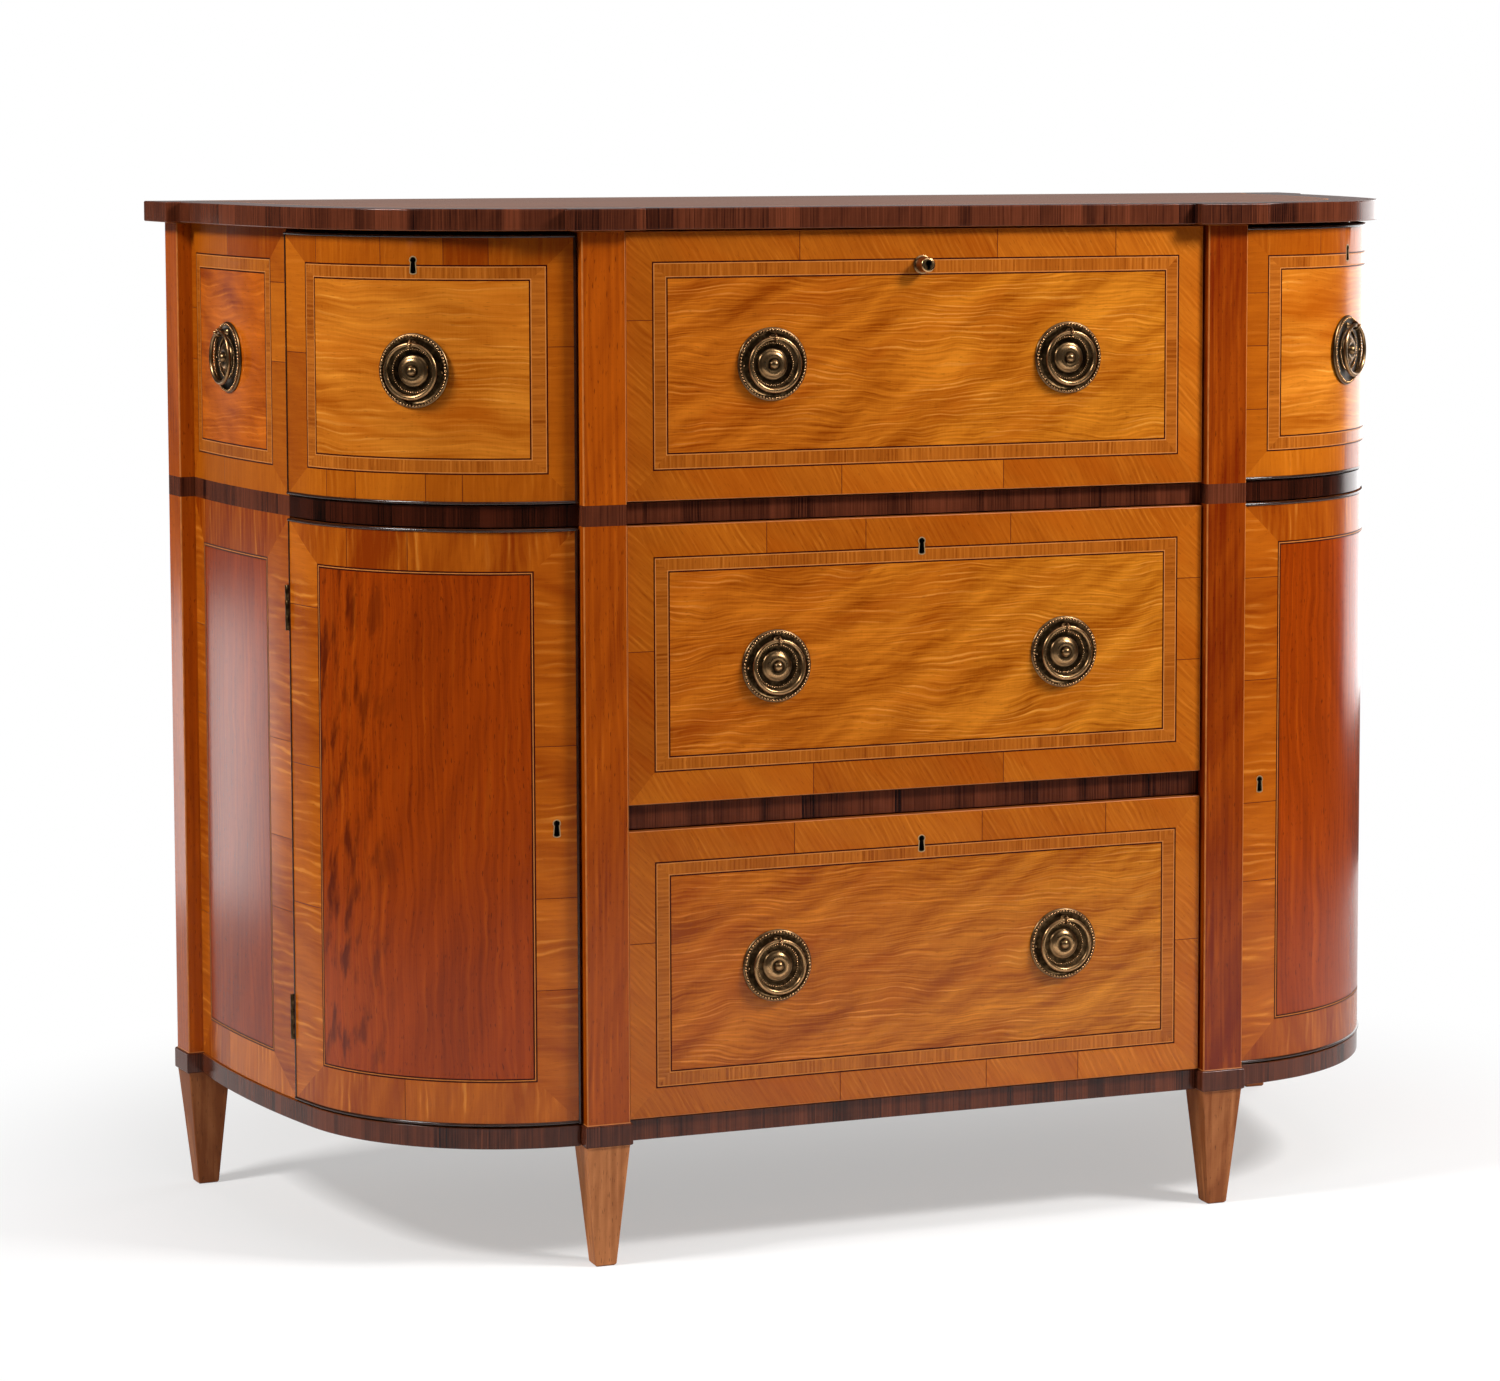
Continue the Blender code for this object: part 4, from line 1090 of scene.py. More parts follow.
def keyhole_outline(sizes, grow=0.0):
    """A keyhole's outline about its middle: round above, waisted, and wider at its foot."""
    radius, waist, foot, height = sizes
    radius, half_waist, half_foot = radius + grow, waist / 2 + grow, foot / 2 + grow
    half_height = height / 2 + grow
    first = math.asin(half_waist / radius) - math.pi / 2
    sweep = 2 * math.pi + 2 * (-math.pi / 2 - first)
    points = []
    for step in range(ROUND_STEPS + 1):
        turn = first + sweep * step / ROUND_STEPS
        points.append((radius * math.cos(turn), half_height - radius + radius * math.sin(turn)))
    for step in range(FOOT_STEPS + 1):
        turn = math.pi * step / FOOT_STEPS
        drop = -half_height + half_foot / 2 * (1 - math.sin(turn))
        points.append((-half_foot * math.cos(turn), drop))
    return points


def keyhole_loops(form, sizes, rows):
    """Loops of points round a keyhole at each (growth, depth)."""
    return [
        [form.verts.new((x, depth, z)) for x, z in keyhole_outline(sizes, grow)]
        for grow, depth in rows
    ]


def cut_keyhole(piece, spot, sizes, depth):
    """Sinks a dark keyhole into a piece at this spot."""
    form = bmesh.new()
    prism(form, keyhole_loops(form, sizes, ((0.0, -CUTTER_PROUD), (0.0, depth))))
    form.transform(spot)
    piece.data.materials.append(finish("keyhole_dark"))
    for face in form.faces:
        face.material_index = len(piece.data.materials) - 1
    cutter = piece_object("keyhole_cutter", mesh_of(form, "keyhole_cutter"))
    for material in piece.data.materials:
        cutter.data.materials.append(material)
    piece.modifiers.new("keyhole", "BOOLEAN").object = cutter
    settle(piece)
    bpy.data.objects.remove(cutter)


def lined_keyhole(piece, spot, body, name):
    """A keyhole in a piece, and the thin brass line let in round it."""
    cut_keyhole(piece, spot, KEYHOLE, KEYHOLE_DEPTH)
    form = bmesh.new()
    rows = ((0.0, LINER_SUNK), (0.0, -LINER_PROUD), (LINER, -LINER_PROUD), (LINER, LINER_SUNK))
    walls(form, keyhole_loops(form, KEYHOLE, rows), closed=True)
    form.transform(spot)
    name = f"{name}_escutcheon"
    fit(piece_object(name, mesh_of(form, name, "liner")), body, "brass")


# Drawers and doors

# Centre fronts: node, then half width and heights of the outer and of the inner string, and the
# height of the keyhole
CENTRE_DRAWERS = {
    "secretaire": ("secretaire_fall", 0.242, (0.6715, 0.8456), 0.2295, (0.6850, 0.8325), None),
    "middle": ("middle_drawer_front", 0.242, (0.4180, 0.5996), 0.2290, (0.4302, 0.5873), 0.6002),
    "bottom": ("bottom_drawer_front", 0.242, (0.1492, 0.3422), 0.2290, (0.1625, 0.3303), 0.3432),
}

# Strings of the ends, along the wall and by height: outer and inner one of the curved drawers and
# of the faux drawers, and the one of the doors and of the side panels
END_STRINGS = ((0.0255, 0.256, 0.671, 0.844), (0.0395, 0.2425, 0.6835, 0.832))
FAUX_STRINGS = ((0.322, 0.500, 0.6686, 0.8455), (0.333, 0.489, 0.6806, 0.8330))
DOOR_STRING = (0.0385, 0.243, 0.1615, 0.591)
PANEL_STRING = (0.335, 0.489, 0.1577, 0.589)

# Gaps of the curved fronts at the stile and at the joint, their depths, and their keyholes' places
DRAWER_GAPS, DRAWER_DEPTH, DRAWER_KEY, DRAWER_KEY_Z = (0.0012, 0.0012), 0.020, 0.1365, 0.8435
DOOR_GAPS, DOOR_DEPTH, DOOR_KEY = (0.0015, 0.0016), 0.018, 0.021
PANEL_GAP = 0.0003

# How far the drawers' upper bead is raised, the joint's bead as a share of the others, and how
# deep a bead is let in
BEAD_LIFT = 0.0017
JOINT_BEAD_SHARE = 0.75
BEAD_SUNK = 0.0015
BEAD_ROUND_STEPS, BEAD_RISE_STEPS = 6, 8


def make_side_panels(settings):
    """Faux drawer, flush band and framed lower panel of each side."""
    for name, side in SIDES.items():
        s0, s1 = JOINT_LENGTH, WALL_LENGTH - PANEL_GAP
        low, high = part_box(f"side_panel_{name}")
        edge = (s0, s1, RAIL_TOP, high.z)
        # The faux drawer's field is darkened with painted shade
        drawer = drawer_layers("end_border", edge, *FAUX_STRINGS, "side_figure", settings)
        band = [("rosewood", (s0, s1, RAIL_BOTTOM, RAIL_TOP))]
        panel = door_layers((s0, s1, low.z, RAIL_BOTTOM), PANEL_STRING, settings)
        place = curved_place(side, 0.0)
        slab = veneer_slab(f"side_{name}", [drawer, band, panel], place, DOOR_DEPTH, True)
        shade(slab.data, WALL_SHARP_ANGLE)
        fit(slab, "cabinet", "door_wood", f"side_panel_{name}")


def make_centre_fronts(settings):
    for name, (node, outer, outer_z, inner, inner_z, keyhole) in CENTRE_DRAWERS.items():
        low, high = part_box(node)
        edge = (low.x, high.x, low.z, high.z)
        strings = (-outer, outer, *outer_z), (-inner, inner, *inner_z)
        layers = drawer_layers(
            "border", shrunk(edge, settings.worn_edge), *strings, "satinwood_figure", settings
        )
        # Outermost line of the front: pale wear with a painted highlight
        layers = [("worn_edge", edge), *layers]
        front = veneer_slab(f"{name}_front", [layers], flat_place(low.y), high.y - low.y)
        soften(front, settings.front_round)
        body = "secretaire_fall" if name == "secretaire" else f"{name}_drawer"
        if keyhole:
            lined_keyhole(front, on_face(0, keyhole), body, name)
        fit(front, body, "satinwood", node)


def make_beads(place, rect, body, settings, lift):
    """Half-round black beads round a curved front, thinner at the joint."""
    x0, x1, z0, z1 = rect
    half = settings.bead / 2
    thin = JOINT_BEAD_SHARE * half
    count = math.ceil((x1 - x0) / BEND_STEP)
    lengths = [x0 + (x1 - x0) * step / count for step in range(count + 1)]
    rises = range(BEAD_RISE_STEPS + 1)
    heights = [z0 + (z1 - z0) * step / BEAD_RISE_STEPS for step in rises]
    turns = [math.pi * step / BEAD_ROUND_STEPS for step in range(BEAD_ROUND_STEPS + 1)]
    for run, radius, path, across, up in (
        ("top", half, [(length, z1 - half + lift) for length in lengths], 0, 1),
        ("bottom", half, [(length, z0 + half) for length in lengths], 0, 1),
        ("stile", half, [(x0 + half, height) for height in heights], 1, 0),
        ("joint", thin, [(x1 - thin, height) for height in heights], 1, 0),
    ):
        section = [(radius * math.cos(turn), -radius * math.sin(turn)) for turn in turns]
        section += [(-radius, BEAD_SUNK), (radius, BEAD_SUNK)]
        form = bmesh.new()
        rings = []
        for length, height in path:
            spots = [(length + a * across, depth, height + a * up) for a, depth in section]
            rings.append([form.verts.new(place(*spot)) for spot in spots])
        prism(form, rings)
        name = f"{body}_bead_{run}"
        bead = piece_object(name, shade(mesh_of(form, name, "black_bead")))
        fit(bead, body, "rosewood")


def make_end_fronts(settings):
    for side_name, side in SIDES.items():
        place = curved_place(side, CURVED_PROUD)
        drawer, door = f"{side_name}_drawer", f"{side_name}_door"
        for body, name, node, slot, gaps, depth, key, lift in (
            (drawer, f"{side_name}_front", f"{drawer}_front", "satinwood",
             DRAWER_GAPS, DRAWER_DEPTH, DRAWER_KEY, BEAD_LIFT),
            (door, f"{door}_leaf", f"door_{side_name}", "door_wood",
             DOOR_GAPS, DOOR_DEPTH, DOOR_KEY, 0.0),
        ):
            low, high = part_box(node)
            rect = (gaps[0], JOINT_LENGTH - gaps[1], low.z, high.z)
            if body == drawer:
                key_z = DRAWER_KEY_Z
                layers = drawer_layers("end_border", rect, *END_STRINGS, "end_figure", settings)
            else:
                key_z = (low.z + high.z) / 2
                layers = door_layers(rect, DOOR_STRING, settings)
            front = veneer_slab(name, [layers], place, depth, True)
            soften(front, settings.front_round)
            lined_keyhole(front, on_wall(side, key, CURVED_PROUD, key_z), body, body)
            fit(front, body, slot, node)
            make_beads(place, rect, body, settings, lift)


# Handles

# Profiles in millimetres: radius, height and wear, from the front centre outwards
PLATE_PROFILE = (
    (0, 8.5, 0.7), (1.6, 8.3, 0.6), (3.0, 7.5, 0.5), (3.9, 6.2, 0.4), (4.1, 5.3, 0.2),
    (4.5, 4.6, 0.0), (5.2, 4.5, 0.1), (6.2, 4.9, 0.5), (7.6, 5.0, 0.8), (9.2, 4.6, 0.7),
    (10.6, 3.8, 0.6), (11.4, 3.0, 0.35), (11.9, 2.9, 0.5), (12.6, 2.6, 0.6), (13.1, 1.9, 0.3),
    (13.6, 1.1, 0.0), (15.2, 0.9, 0.0), (17.0, 1.1, 0.1), (19.4, 1.2, 0.15), (20.2, 0.9, 0.05),
    (25.6, 0.8, 0.0), (26.8, 1.1, 0.1), (27.4, 1.6, 0.1), (29.6, 1.7, 0.1), (30.4, 1.3, 0.35),
    (31.0, 0.7, 0.3), (31.0, 0, 0.0), (0, 0, 0.0),
)
EYE_STEM = (
    (0, 4.4, 0.3), (1.1, 4.3, 0.3), (1.2, 2.6, 0.2), (2.0, 1.9, 0.6), (2.1, 1.2, 0.7),
    (2.9, 0.7, 0.7), (3.1, 0.2, 0.3), (0, 0, 0.0),
)
EYE_KNOB = (
    (0, 2.6, 1.0), (0.9, 2.4, 1.0), (1.5, 1.7, 1.0), (1.6, 1.0, 0.9), (1.2, 0.4, 0.4),
    (1.2, -0.6, 0.3), (0, -0.8, 0.0),
)
PIN = ((0, 0.7, 1), (0.6, 0.5, 1), (0.9, 0, 0.5), (0, -0.4, 0))
LOCK_PROFILE = (
    (0, 15.0, 0.9), (4.9, 15.0, 0.9), (5.9, 14.6, 1.0), (6.4, 13.7, 0.8), (6.5, 12.6, 0.5),
    (6.2, 12.2, 0.2), (6.4, 11.6, 0.6), (6.4, 2.2, 0.5), (6.9, 1.7, 0.2), (7.9, 1.2, 0.8),
    (8.0, 0.4, 0.6), (7.8, 0.0, 0.2), (0, 0, 0),
)
LOCK_LENGTH = 0.015
PLATE_RADIUS = 0.031
PLATE_GAP = 0.0003
PIN_SPOTS = ((-0.0258, -0.001, 0.0012), (0.0258, -0.001, 0.0012))

# The ring: radius, the wire's radius at the eye and at the foot, and its stand before the plate.
# Then the eye's radius and its wire's, and the heights where its stem and its knob are set
RING_RADIUS, RING_THIN, RING_THICK, RING_STAND = 0.022, 0.0015, 0.0020, 0.0078
EYE_RADIUS, EYE_WIRE = 0.0032, 0.0008
STEM_HEIGHT, KNOB_HEIGHT = 0.0008, RING_STAND + 0.0031

# Both bead rings of a plate: count, radius of the ring and of a bead, and height
BEAD_RINGS = ((64, 0.0288, 0.00118, 0.0021), (56, 0.0180, 0.00085, 0.0017))
BEAD_INPUTS = ("Beads", "Ring Radius", "Bead Radius", "Height")
BEAD_WEAR = 0.95

# Nodes that set a ring of beads, and their links: from node and socket, to node and socket
BEAD_NODES = {
    "inputs": "NodeGroupInput",
    "circle": "GeometryNodeMeshCircle",
    "bead": "GeometryNodeMeshUVSphere",
    "scatter": "GeometryNodeInstanceOnPoints",
    "lift": "ShaderNodeCombineXYZ",
    "raised": "GeometryNodeTransform",
    "real": "GeometryNodeRealizeInstances",
    "smooth": "GeometryNodeSetShadeSmooth",
    "dress": "GeometryNodeSetMaterial",
    "outputs": "NodeGroupOutput",
}
BEAD_LINKS = (
    ("inputs", "Beads", "circle", "Vertices"),
    ("inputs", "Ring Radius", "circle", "Radius"),
    ("inputs", "Bead Radius", "bead", "Radius"),
    ("circle", "Mesh", "scatter", "Points"),
    ("bead", "Mesh", "scatter", "Instance"),
    ("inputs", "Height", "lift", "Z"),
    ("scatter", "Instances", "raised", "Geometry"),
    ("lift", "Vector", "raised", "Translation"),
    ("raised", "Geometry", "real", "Geometry"),
    ("real", "Geometry", "smooth", "Geometry"),
    ("smooth", "Geometry", "dress", "Geometry"),
    ("dress", "Geometry", "outputs", "Geometry"),
)

# Handles of the centre drawers, by their distance from the middle, and of the ends, along the wall
CENTRE_HANDLES = {"secretaire": 0.136, "middle": 0.133, "bottom": 0.133}
SIDE_HANDLE_OFFSET = 0.011
END_HANDLES = {
    "drawer": (DRAWER_KEY, CURVED_PROUD),
    "side": ((JOINT_LENGTH + WALL_LENGTH) / 2 + SIDE_HANDLE_OFFSET, 0.0),
}


def bead_tree():
    """Geometry Nodes that set a ring of round beads, with its sizes as inputs."""
    tree = bpy.data.node_groups.new("ring_of_beads", "GeometryNodeTree")
    for label in BEAD_INPUTS:
        kind = "NodeSocketInt" if label == "Beads" else "NodeSocketFloat"
        tree.interface.new_socket(label, in_out="INPUT", socket_type=kind)
    tree.interface.new_socket("Geometry", in_out="OUTPUT", socket_type="NodeSocketGeometry")
    nodes = {name: tree.nodes.new(kind) for name, kind in BEAD_NODES.items()}
    nodes["bead"].inputs["Segments"].default_value = 8
    nodes["bead"].inputs["Rings"].default_value = 5
    nodes["dress"].inputs["Material"].default_value = finish("brass")
    for start, output, end, socket in BEAD_LINKS:
        tree.links.new(nodes[start].outputs[output], nodes[end].inputs[socket])
    return tree


def bead_mesh(tree, values):
    """The plain mesh of one ring of beads."""
    carrier = piece_object("beads", bpy.data.meshes.new("beads"))
    modifier = carrier.modifiers.new("beads", "NODES")
    modifier.node_group = tree
    sockets = [item for item in tree.interface.items_tree if item.in_out == "INPUT"]
    for socket, value in zip(sockets, values):
        modifier[socket.identifier] = value
    mesh = settle(carrier).data
    bpy.data.objects.remove(carrier)
    return mesh


def torus_form(radius, thin, thick, around, sides):
    """A wire ring in X and Y, thinner at +Y than at -Y."""
    form, wear = metal_form()
    rings = []
    for step in range(around):
        turn = 2 * math.pi * step / around
        wire = thick + (thin - thick) * (1 + math.cos(turn)) / 2
        rings.append([])
        for side in range(sides):
            roll = 2 * math.pi * side / sides
            reach = radius + wire * math.cos(roll)
            spot = (reach * math.sin(turn), reach * math.cos(turn), wire * math.sin(roll))
            vert = form.verts.new(spot)
            vert[wear] = 0.40 + 0.35 * math.sin(roll)
            rings[-1].append(vert)
    walls(form, rings, closed=True)
    return form


def merge_into(form, other, place):
    """Adds another form, moved by this placing, to the first."""
    other.transform(place)
    mesh = mesh_of(other, "part")
    form.from_mesh(mesh)
    bpy.data.meshes.remove(mesh)


def plate_form():
    """Backplate, both bead rings, the eye of the ring and two pins, facing +Z."""
    form = turned(PLATE_PROFILE, steps=72)
    tree = bead_tree()
    wear = form.verts.layers.float["wear"]
    for values in BEAD_RINGS:
        known = set(form.verts)
        form.from_mesh(bead_mesh(tree, values))
        for vert in set(form.verts) - known:
            vert[wear] = BEAD_WEAR
    bpy.data.node_groups.remove(tree)
    eye = torus_form(EYE_RADIUS, EYE_WIRE, EYE_WIRE, around=24, sides=10)
    upright = Matrix.Rotation(math.pi / 2, 4, "Y")
    merge_into(form, eye, Matrix.Translation((0, RING_RADIUS, RING_STAND)) @ upright)
    for profile, height in ((EYE_STEM, STEM_HEIGHT), (EYE_KNOB, KNOB_HEIGHT)):
        stem = turned(profile, steps=16)
        merge_into(form, stem, Matrix.Translation((0, RING_RADIUS, height)))
    for spot in PIN_SPOTS:
        merge_into(form, turned(PIN, steps=12), Matrix.Translation(spot))
    return form


def handle_spots():
    """Name, body and placing of every handle."""
    for side_name, side in SIDES.items():
        for name in (*CENTRE_HANDLES, *END_HANDLES):
            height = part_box(f"plate_{name}_{side_name}")[0].z + PLATE_RADIUS
            if name in CENTRE_HANDLES:
                spot = on_face(side * CENTRE_HANDLES[name], height)
            else:
                spot = on_wall(side, *END_HANDLES[name], height)
            body = {"secretaire": "secretaire_fall", "side": "cabinet"}.get(name, f"{name}_drawer")
            if name == "drawer":
                body = f"{side_name}_drawer"
            yield f"{name}_{side_name}", body, spot


def make_handles(_settings):
    facing = Matrix.Rotation(math.pi / 2, 4, "X")
    wire = torus_form(RING_RADIUS, RING_THIN, RING_THICK, around=96, sides=16)
    plate, ring = mesh_of(plate_form(), "plate", "brass"), mesh_of(wire, "ring", "brass")
    for name, body, spot in handle_spots():
        for kind, label, mesh, out, rider in (
            ("plate", "backplate", plate, PLATE_GAP, body),
            ("ring", "bail", ring, RING_STAND + PLATE_GAP, f"{name}_ring"),
        ):
            copy = mesh.copy()
            copy.transform(spot @ Matrix.Translation((0, -out, 0)) @ facing)
            piece = piece_object(f"{label}_{name}", shade(copy))
            fit(piece, rider, "brass", f"{kind}_{name}")


def make_lock(_settings):
    """The lock's brass nose on the secretaire's front, with its keyhole."""
    low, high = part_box("secretaire_lock")
    form = turned(LOCK_PROFILE, steps=48)
    spot = Matrix.Translation(((low.x + high.x) / 2, high.y, (low.z + high.z) / 2))
    form.transform(spot @ Matrix.Rotation(math.pi / 2, 4, "X"))
    lock = piece_object("lock_nose", shade(mesh_of(form, "lock_nose", "brass")))
    front = spot @ Matrix.Translation((0, -LOCK_LENGTH, 0.0))
    cut_keyhole(lock, front, LOCK_KEYHOLE, LOCK_KEYHOLE_DEPTH)
    fit(lock, "secretaire_fall", "brass", "secretaire_lock")


# Hinges: the axis outside the wall and back from the joint, the barrel's radius, then in its
# grooves and at its ends, how far these are eased, and the leaf's reach along the wall and into it
HINGE_OUT, HINGE_BACK = 0.0030, 0.0008
BARREL, GROOVE, BARREL_END = 0.0024, 0.0021, 0.0016
GROOVE_EASE, BARREL_EASE, END_EASE = 0.0001, 0.0004, 0.0002
LEAF = (-0.0013, -0.0003, -0.0036, 0.014)


def barrel_profile(height):
    """Rows of a hinge's barrel: three knuckles with fine dark grooves between them."""
    rows = [(0, 0, 0.4), (BARREL_END, END_EASE, 0.7)]
    for part in range(3):
        start, end = part * height / 3, (part + 1) * height / 3
        rows += [(GROOVE, start + GROOVE_EASE, 0.0), (BARREL, start + BARREL_EASE, 0.08)]
        rows += [(BARREL, end - BARREL_EASE, 0.08), (GROOVE, end - GROOVE_EASE, 0.0)]
    return rows + [(BARREL_END, height - END_EASE, 0.7), (0, height, 0.4)]


def make_hinges(_settings):
    """Butt hinges with jointed knuckles outside the wall and a leaf in the gap."""
    normal = wall_normal(JOINT_LENGTH)
    pivot = wall(JOINT_LENGTH, HINGE_OUT) - HINGE_BACK * Vector((-normal.y, normal.x))
    for side_name, side in SIDES.items():
        place = curved_place(side, 0.0)
        for level in ("upper", "lower"):
            name = f"butt_{side_name}_{level}"
            node = f"hinge_{side_name}_{level}"
            low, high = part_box(node)
            form = turned(barrel_profile(high.z - low.z)[::-1], steps=20, unit=1)
            form.transform(Matrix.Translation((side * pivot.x, pivot.y, low.z)))
            leaf = [(JOINT_LENGTH + along, depth) for along, depth in corners_of(LEAF)]
            prism(form, [[form.verts.new(place(*at, z)) for at in leaf] for z in (low.z, high.z)])
            hinge = piece_object(name, shade(mesh_of(form, name, "brass")))
            fit(hinge, "cabinet", "brass", node)


# Inside

# The leather: half width, how deep it is let in, the margins of the fall's over the fitment's foot
# and under the fall's top, and of the tray's at the front and before the fitment
LEATHER_HALF = 0.236
LEATHER_SUNK = 0.001
FALL_MARGINS = (0.006, 0.016)
TRAY_MARGINS = (0.008, 0.004)
FLOOR_DROP = 0.0003
GILT_WIDTH, GILT_INSET, GILT_RISE = 0.0012, 0.012, 0.00004


def make_leather(settings):
    """Leather let into the fall's inner face and the tray's floor, with a gilt line."""
    fall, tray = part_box("secretaire_fall"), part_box("secretaire_tray")
    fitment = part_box("secretaire_pigeonholes")[0]
    skin, half, inner = settings.skin, LEATHER_HALF, fall[1].y
    floor = fitment.z - FLOOR_DROP
    z0, z1 = fitment.z + FALL_MARGINS[0], fall[1].z - FALL_MARGINS[1]
    y0, y1 = tray[0].y + TRAY_MARGINS[0], fitment.y - TRAY_MARGINS[1]

    def on_fall(x, up, rise):
        return x, inner + rise, up

    def on_tray(x, back, rise):
        return x, back, floor + rise

    leaves = (
        ("fall", "secretaire_fall", z0, z1, on_fall),
        ("tray", "secretaire_drawer", y0, y1, on_tray),
    )
    for name, body, start, end, spot in leaves:
        low, high = spot(-half, start, -LEATHER_SUNK), spot(half, end, skin)
        fit(soften(thin_box(f"{name}_leather", low, high, "leather"), skin / 3), body, "satinwood")
    for name, body, start, end, spot in leaves:
        form = bmesh.new()
        outer = shrunk((-half, half, start, end), GILT_INSET)
        thin, top = shrunk(outer, GILT_WIDTH), skin + GILT_RISE
        loops = [
            [form.verts.new(spot(*corner, rise)) for corner in corners_of(rect)]
            for rect, rise in ((outer, skin), (outer, top), (thin, top), (thin, skin))
        ]
        walls(form, loops, closed=True)
        mesh = mesh_of(form, f"{name}_gilt", "gilt_line")
        fit(piece_object(f"{name}_gilt", mesh), body, "brass")


def dress_inside(_settings):
    """Finishes for the CAD nodes that stay in view."""
    for kind, (_, _, nodes) in LININGS.items():
        for node in nodes.split():
            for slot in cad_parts[node].material_slots:
                slot.material = finish(kind)


# Studio

# Lamps: place, size and power
LIGHTS = {
    "right_key": ((1.30, -1.35, 1.90), (0.5, 0.5), 51.0),
    "left_key": ((-2.30, -0.42, 2.25), (0.6, 0.6), 64.0),
    "top_fill": ((0.1, -1.2, 2.9), (1.6, 1.6), 13.0),
    "left_glow": ((-1.70, 2.20, 0.03), (0.75, 0.48), 2.8),
    "left_strip": ((-1.66, 2.19, 0.66), (0.10, 0.28), 0.09),
    "right_rim": ((1.97, 1.11, 0.75), (1.6, 1.2), 17.0),
    "back_panel": ((0.8, 2.9, 0.95), (4.6, 1.7), 6.5),
}
LIGHT_AIM = Vector((0, 0, 0.45))

# Shares of the floor's radius between which it fades to white
FADE_SHARES = (0.27, 0.52)
WHITE = (1, 1, 1, 1)

# The camera: its place before the stiles' fronts, tilt and turn, lens and sensor, and in the
# photograph's pixels its width, its middle and the point that the camera looks straight at
CAMERA_X, CAMERA_BACK, CAMERA_Z = -1.4215, -3.4424, 0.9679
CAMERA_TILT, CAMERA_TURN = math.radians(90 - 5.467), math.radians(-22)
LENS, SENSOR = 105.34, 36.0
PHOTO_WIDTH, PHOTO_MIDDLE, PHOTO_AIM = 1500, (750, 690.5), (891.55, 533.35)


def make_floor(settings):
    """A pale floor that fades to white, and throws less light back up than it shows."""
    form = bmesh.new()
    radius, lift = settings.floor_radius, settings.floor_lift
    bmesh.ops.create_circle(form, cap_ends=True, segments=96, radius=radius)
    t = new_finish("studio_floor")
    dim = colour([share * settings.floor_bounce for share in settings.floor_colour])
    base = t.mix(t.ray("Diffuse"), colour(settings.floor_colour), dim)
    t.dress({"Base Color": base, "Roughness": 0.9, "Specular IOR Level": 0.0})
    away = t.node("ShaderNodeVectorMath", {0: t.spot()}, "Value", operation="LENGTH")
    far = t.band(away, *(radius * share for share in FADE_SHARES))
    share = t.times(t.ray("Camera"), t.math("MULTIPLY_ADD", far, 1 - lift, lift))
    white = t.node("ShaderNodeEmission", {"Color": WHITE, "Strength": 1.0})
    surface = t.tree.nodes["Principled BSDF"].outputs[0]
    both = t.node("ShaderNodeMixShader", {0: share, 1: surface, 2: white})
    t.feed(t.tree.nodes["Material Output"].inputs["Surface"], both)
    piece_object("studio_floor", mesh_of(form, "studio_floor", "studio_floor"))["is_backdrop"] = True


def make_world(settings):
    """Soft light all round, a dim room in reflections, and white for the camera."""
    t = Weave(bpy.data.worlds.new("studio"))
    t.tree.nodes.remove(t.tree.nodes["Background"])
    sky, room, seen = (
        t.node("ShaderNodeBackground", {"Color": WHITE, "Strength": strength})
        for strength in (settings.sky, settings.room, 1.0)
    )
    lit = t.node("ShaderNodeMixShader", {0: t.ray("Glossy"), 1: sky, 2: room})
    both = t.node("ShaderNodeMixShader", {0: t.ray("Camera"), 1: lit, 2: seen})
    t.feed(t.tree.nodes["World Output"].inputs["Surface"], both)
    bpy.context.scene.world = t.owner


def make_lights(settings):
    for name, (spot, size, power) in LIGHTS.items():
        lamp = bpy.data.lights.new(name, "AREA")
        lamp.shape = "RECTANGLE"
        lamp.size, lamp.size_y = size
        lamp.energy = power * settings.light
        holder = piece_object(name, lamp)
        turn = (LIGHT_AIM - Vector(spot)).to_track_quat("-Z", "Y").to_matrix().to_4x4()
        holder.matrix_world = Matrix.Translation(spot) @ turn
        holder.visible_camera = False


def make_camera(_settings):
    lens = bpy.data.cameras.new("camera")
    lens.sensor_fit = "HORIZONTAL"
    lens.sensor_width = SENSOR
    lens.lens = LENS
    lens.shift_x = (PHOTO_MIDDLE[0] - PHOTO_AIM[0]) / PHOTO_WIDTH
    lens.shift_y = (PHOTO_AIM[1] - PHOTO_MIDDLE[1]) / PHOTO_WIDTH
    holder = piece_object("camera", lens)
    holder.location = (CAMERA_X, CAMERA_BACK + STILE_FRONT, CAMERA_Z)
    holder.rotation_euler = (CAMERA_TILT, 0, CAMERA_TURN)
    bpy.context.scene.camera = holder
    bpy.context.scene.view_settings.view_transform = "Standard"


# Settings and operators


def number(label, about, value, **others):
    return bpy.props.FloatProperty(name=label, description=about, default=value, **others)


def size(label, about, value):
    return number(label, about, value, unit="LENGTH", precision=5)


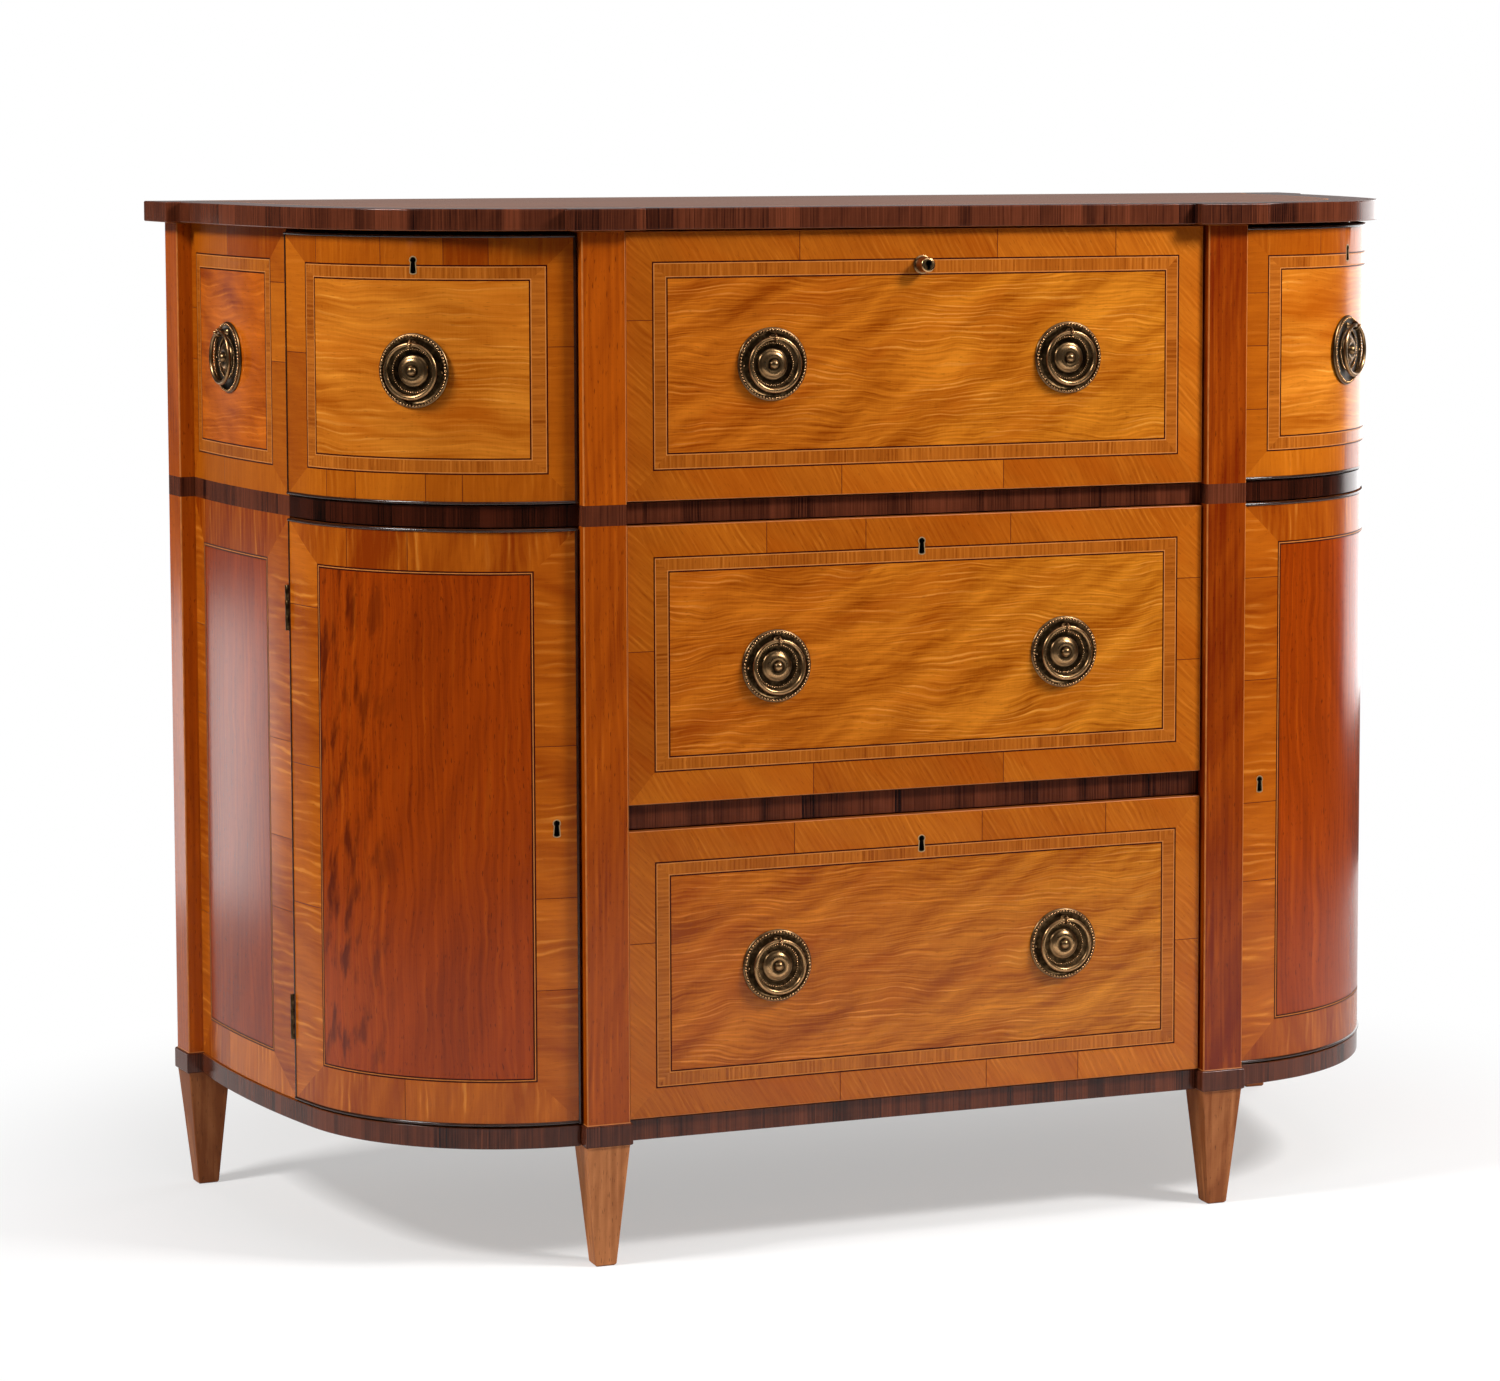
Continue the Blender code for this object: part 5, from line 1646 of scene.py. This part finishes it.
class CabinetSizes(bpy.types.PropertyGroup):
    """Sizes of the fine work that a user would change."""

    black_string: size("Black string", "Width of a dark line of stringing", 0.0013)
    pale_string: size("Pale string", "Width of a pale line of stringing", 0.0008)
    # The pale edge line is wear with a painted highlight
    worn_edge: size("Worn edge", "Width of the pale worn line at a drawer's edge", 0.0008)
    top_band: size("Top band", "Width of the crossbanding round the top", 0.045)
    top_round: size("Top edge", "Rounding of the top's edges", 0.0012)
    post_round: size("Post edge", "Rounding of the stiles' and feet's edges", 0.0011)
    band_round: size("Band edge", "Rounding of the base band's edges", 0.0006)
    front_round: size("Front edge", "Rounding of drawer and door edges", 0.0006)
    facing: size("Facing", "How far the rails' facings stand out", 0.00025)
    bead: size("Bead", "Width of the black bead round a curved front", 0.0026)
    skin: size("Leather", "How far the leather stands above the wood", 0.0002)


class CabinetStudio(bpy.types.PropertyGroup):
    """Light and surroundings."""

    floor_colour: bpy.props.FloatVectorProperty(
        name="Floor",
        description="Colour of the studio floor",
        subtype="COLOR",
        default=(0.86, 0.855, 0.85),
    )
    floor_radius: size("Floor", "Radius of the floor, which fades to white", 1.9)
    floor_lift: number("Floor lift", "Share of white in the floor that the camera sees", 0.42)
    floor_bounce: number("Bounce", "Share of its light that the floor throws back up", 0.7)
    sky: number("Sky", "Strength of the soft light all round", 0.12)
    room: number("Room", "Strength of the room in reflections", 0.04)
    light: number("Lamps", "Strength of the lamps", 1.0)


def operator(suffix, label, about, *steps, group="cabinet_sizes"):
    """An operator class that runs these steps with a group of settings."""

    def execute(self, context):
        for step in steps:
            step(getattr(context.scene, group))
        return {"FINISHED"}

    body = {"bl_idname": f"cabinet.{suffix}", "bl_label": label, "__doc__": about}
    return type(f"CABINET_OT_{suffix}", (bpy.types.Operator,), body | {"execute": execute})


STAGE = (make_floor, make_world, make_lights, make_camera)
OPERATORS = [
    operator("stage", "Stage", "Build the floor, lights, surroundings and camera", *STAGE,
             group="cabinet_studio"),
    operator("top", "Top", "Build the crossbanded top", make_top),
    operator("posts", "Posts", "Build the stiles, rear posts and feet", make_posts),
    operator("bands", "Bands", "Build the rosewood bands of base and rails", make_bands),
    operator("sides", "Side panels", "Build the side panels and faux drawers", make_side_panels),
    operator("fronts", "Drawer fronts", "Build the three centre fronts", make_centre_fronts),
    operator("ends", "Curved fronts", "Build the curved drawers and doors", make_end_fronts),
    operator("handles", "Handles", "Build the beaded plates and rings", make_handles),
    operator("lock", "Lock", "Build the secretaire's lock nose", make_lock),
    operator("hinges", "Hinges", "Build the doors' butt hinges", make_hinges),
    operator("inside", "Inside", "Line drawers and secretaire", make_leather, dress_inside),
]


class CABINET_PT_panel(bpy.types.Panel):
    """Sizes, light and the operators that build each group of pieces"""

    bl_idname = "CABINET_PT_panel"
    bl_label = "Secretary cabinet"
    bl_space_type = "VIEW_3D"
    bl_region_type = "UI"
    bl_category = "Cabinet"

    def draw(self, context):
        for group in (context.scene.cabinet_sizes, context.scene.cabinet_studio):
            for name in group.bl_rna.properties.keys():
                if name not in ("rna_type", "name"):
                    self.layout.prop(group, name)
        for kind in OPERATORS:
            self.layout.operator(kind.bl_idname)


CLASSES = [CabinetSizes, CabinetStudio, *OPERATORS, CABINET_PT_panel]


def register():
    for kind in CLASSES:
        bpy.utils.register_class(kind)
    bpy.types.Scene.cabinet_sizes = bpy.props.PointerProperty(type=CabinetSizes)
    bpy.types.Scene.cabinet_studio = bpy.props.PointerProperty(type=CabinetStudio)


def unregister():
    del bpy.types.Scene.cabinet_studio
    del bpy.types.Scene.cabinet_sizes
    for kind in reversed(CLASSES):
        bpy.utils.unregister_class(kind)


def main():
    register()
    for kind in OPERATORS:
        getattr(bpy.ops.cabinet, kind.bl_idname.split(".")[1])()
    bpy.context.view_layer.update()
    boxes = {"cad": CAD_BOX, "visual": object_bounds()}
    rows = {name: [[float(c) for c in corner] for corner in box] for name, box in boxes.items()}


if __name__ == "__main__":
    main()
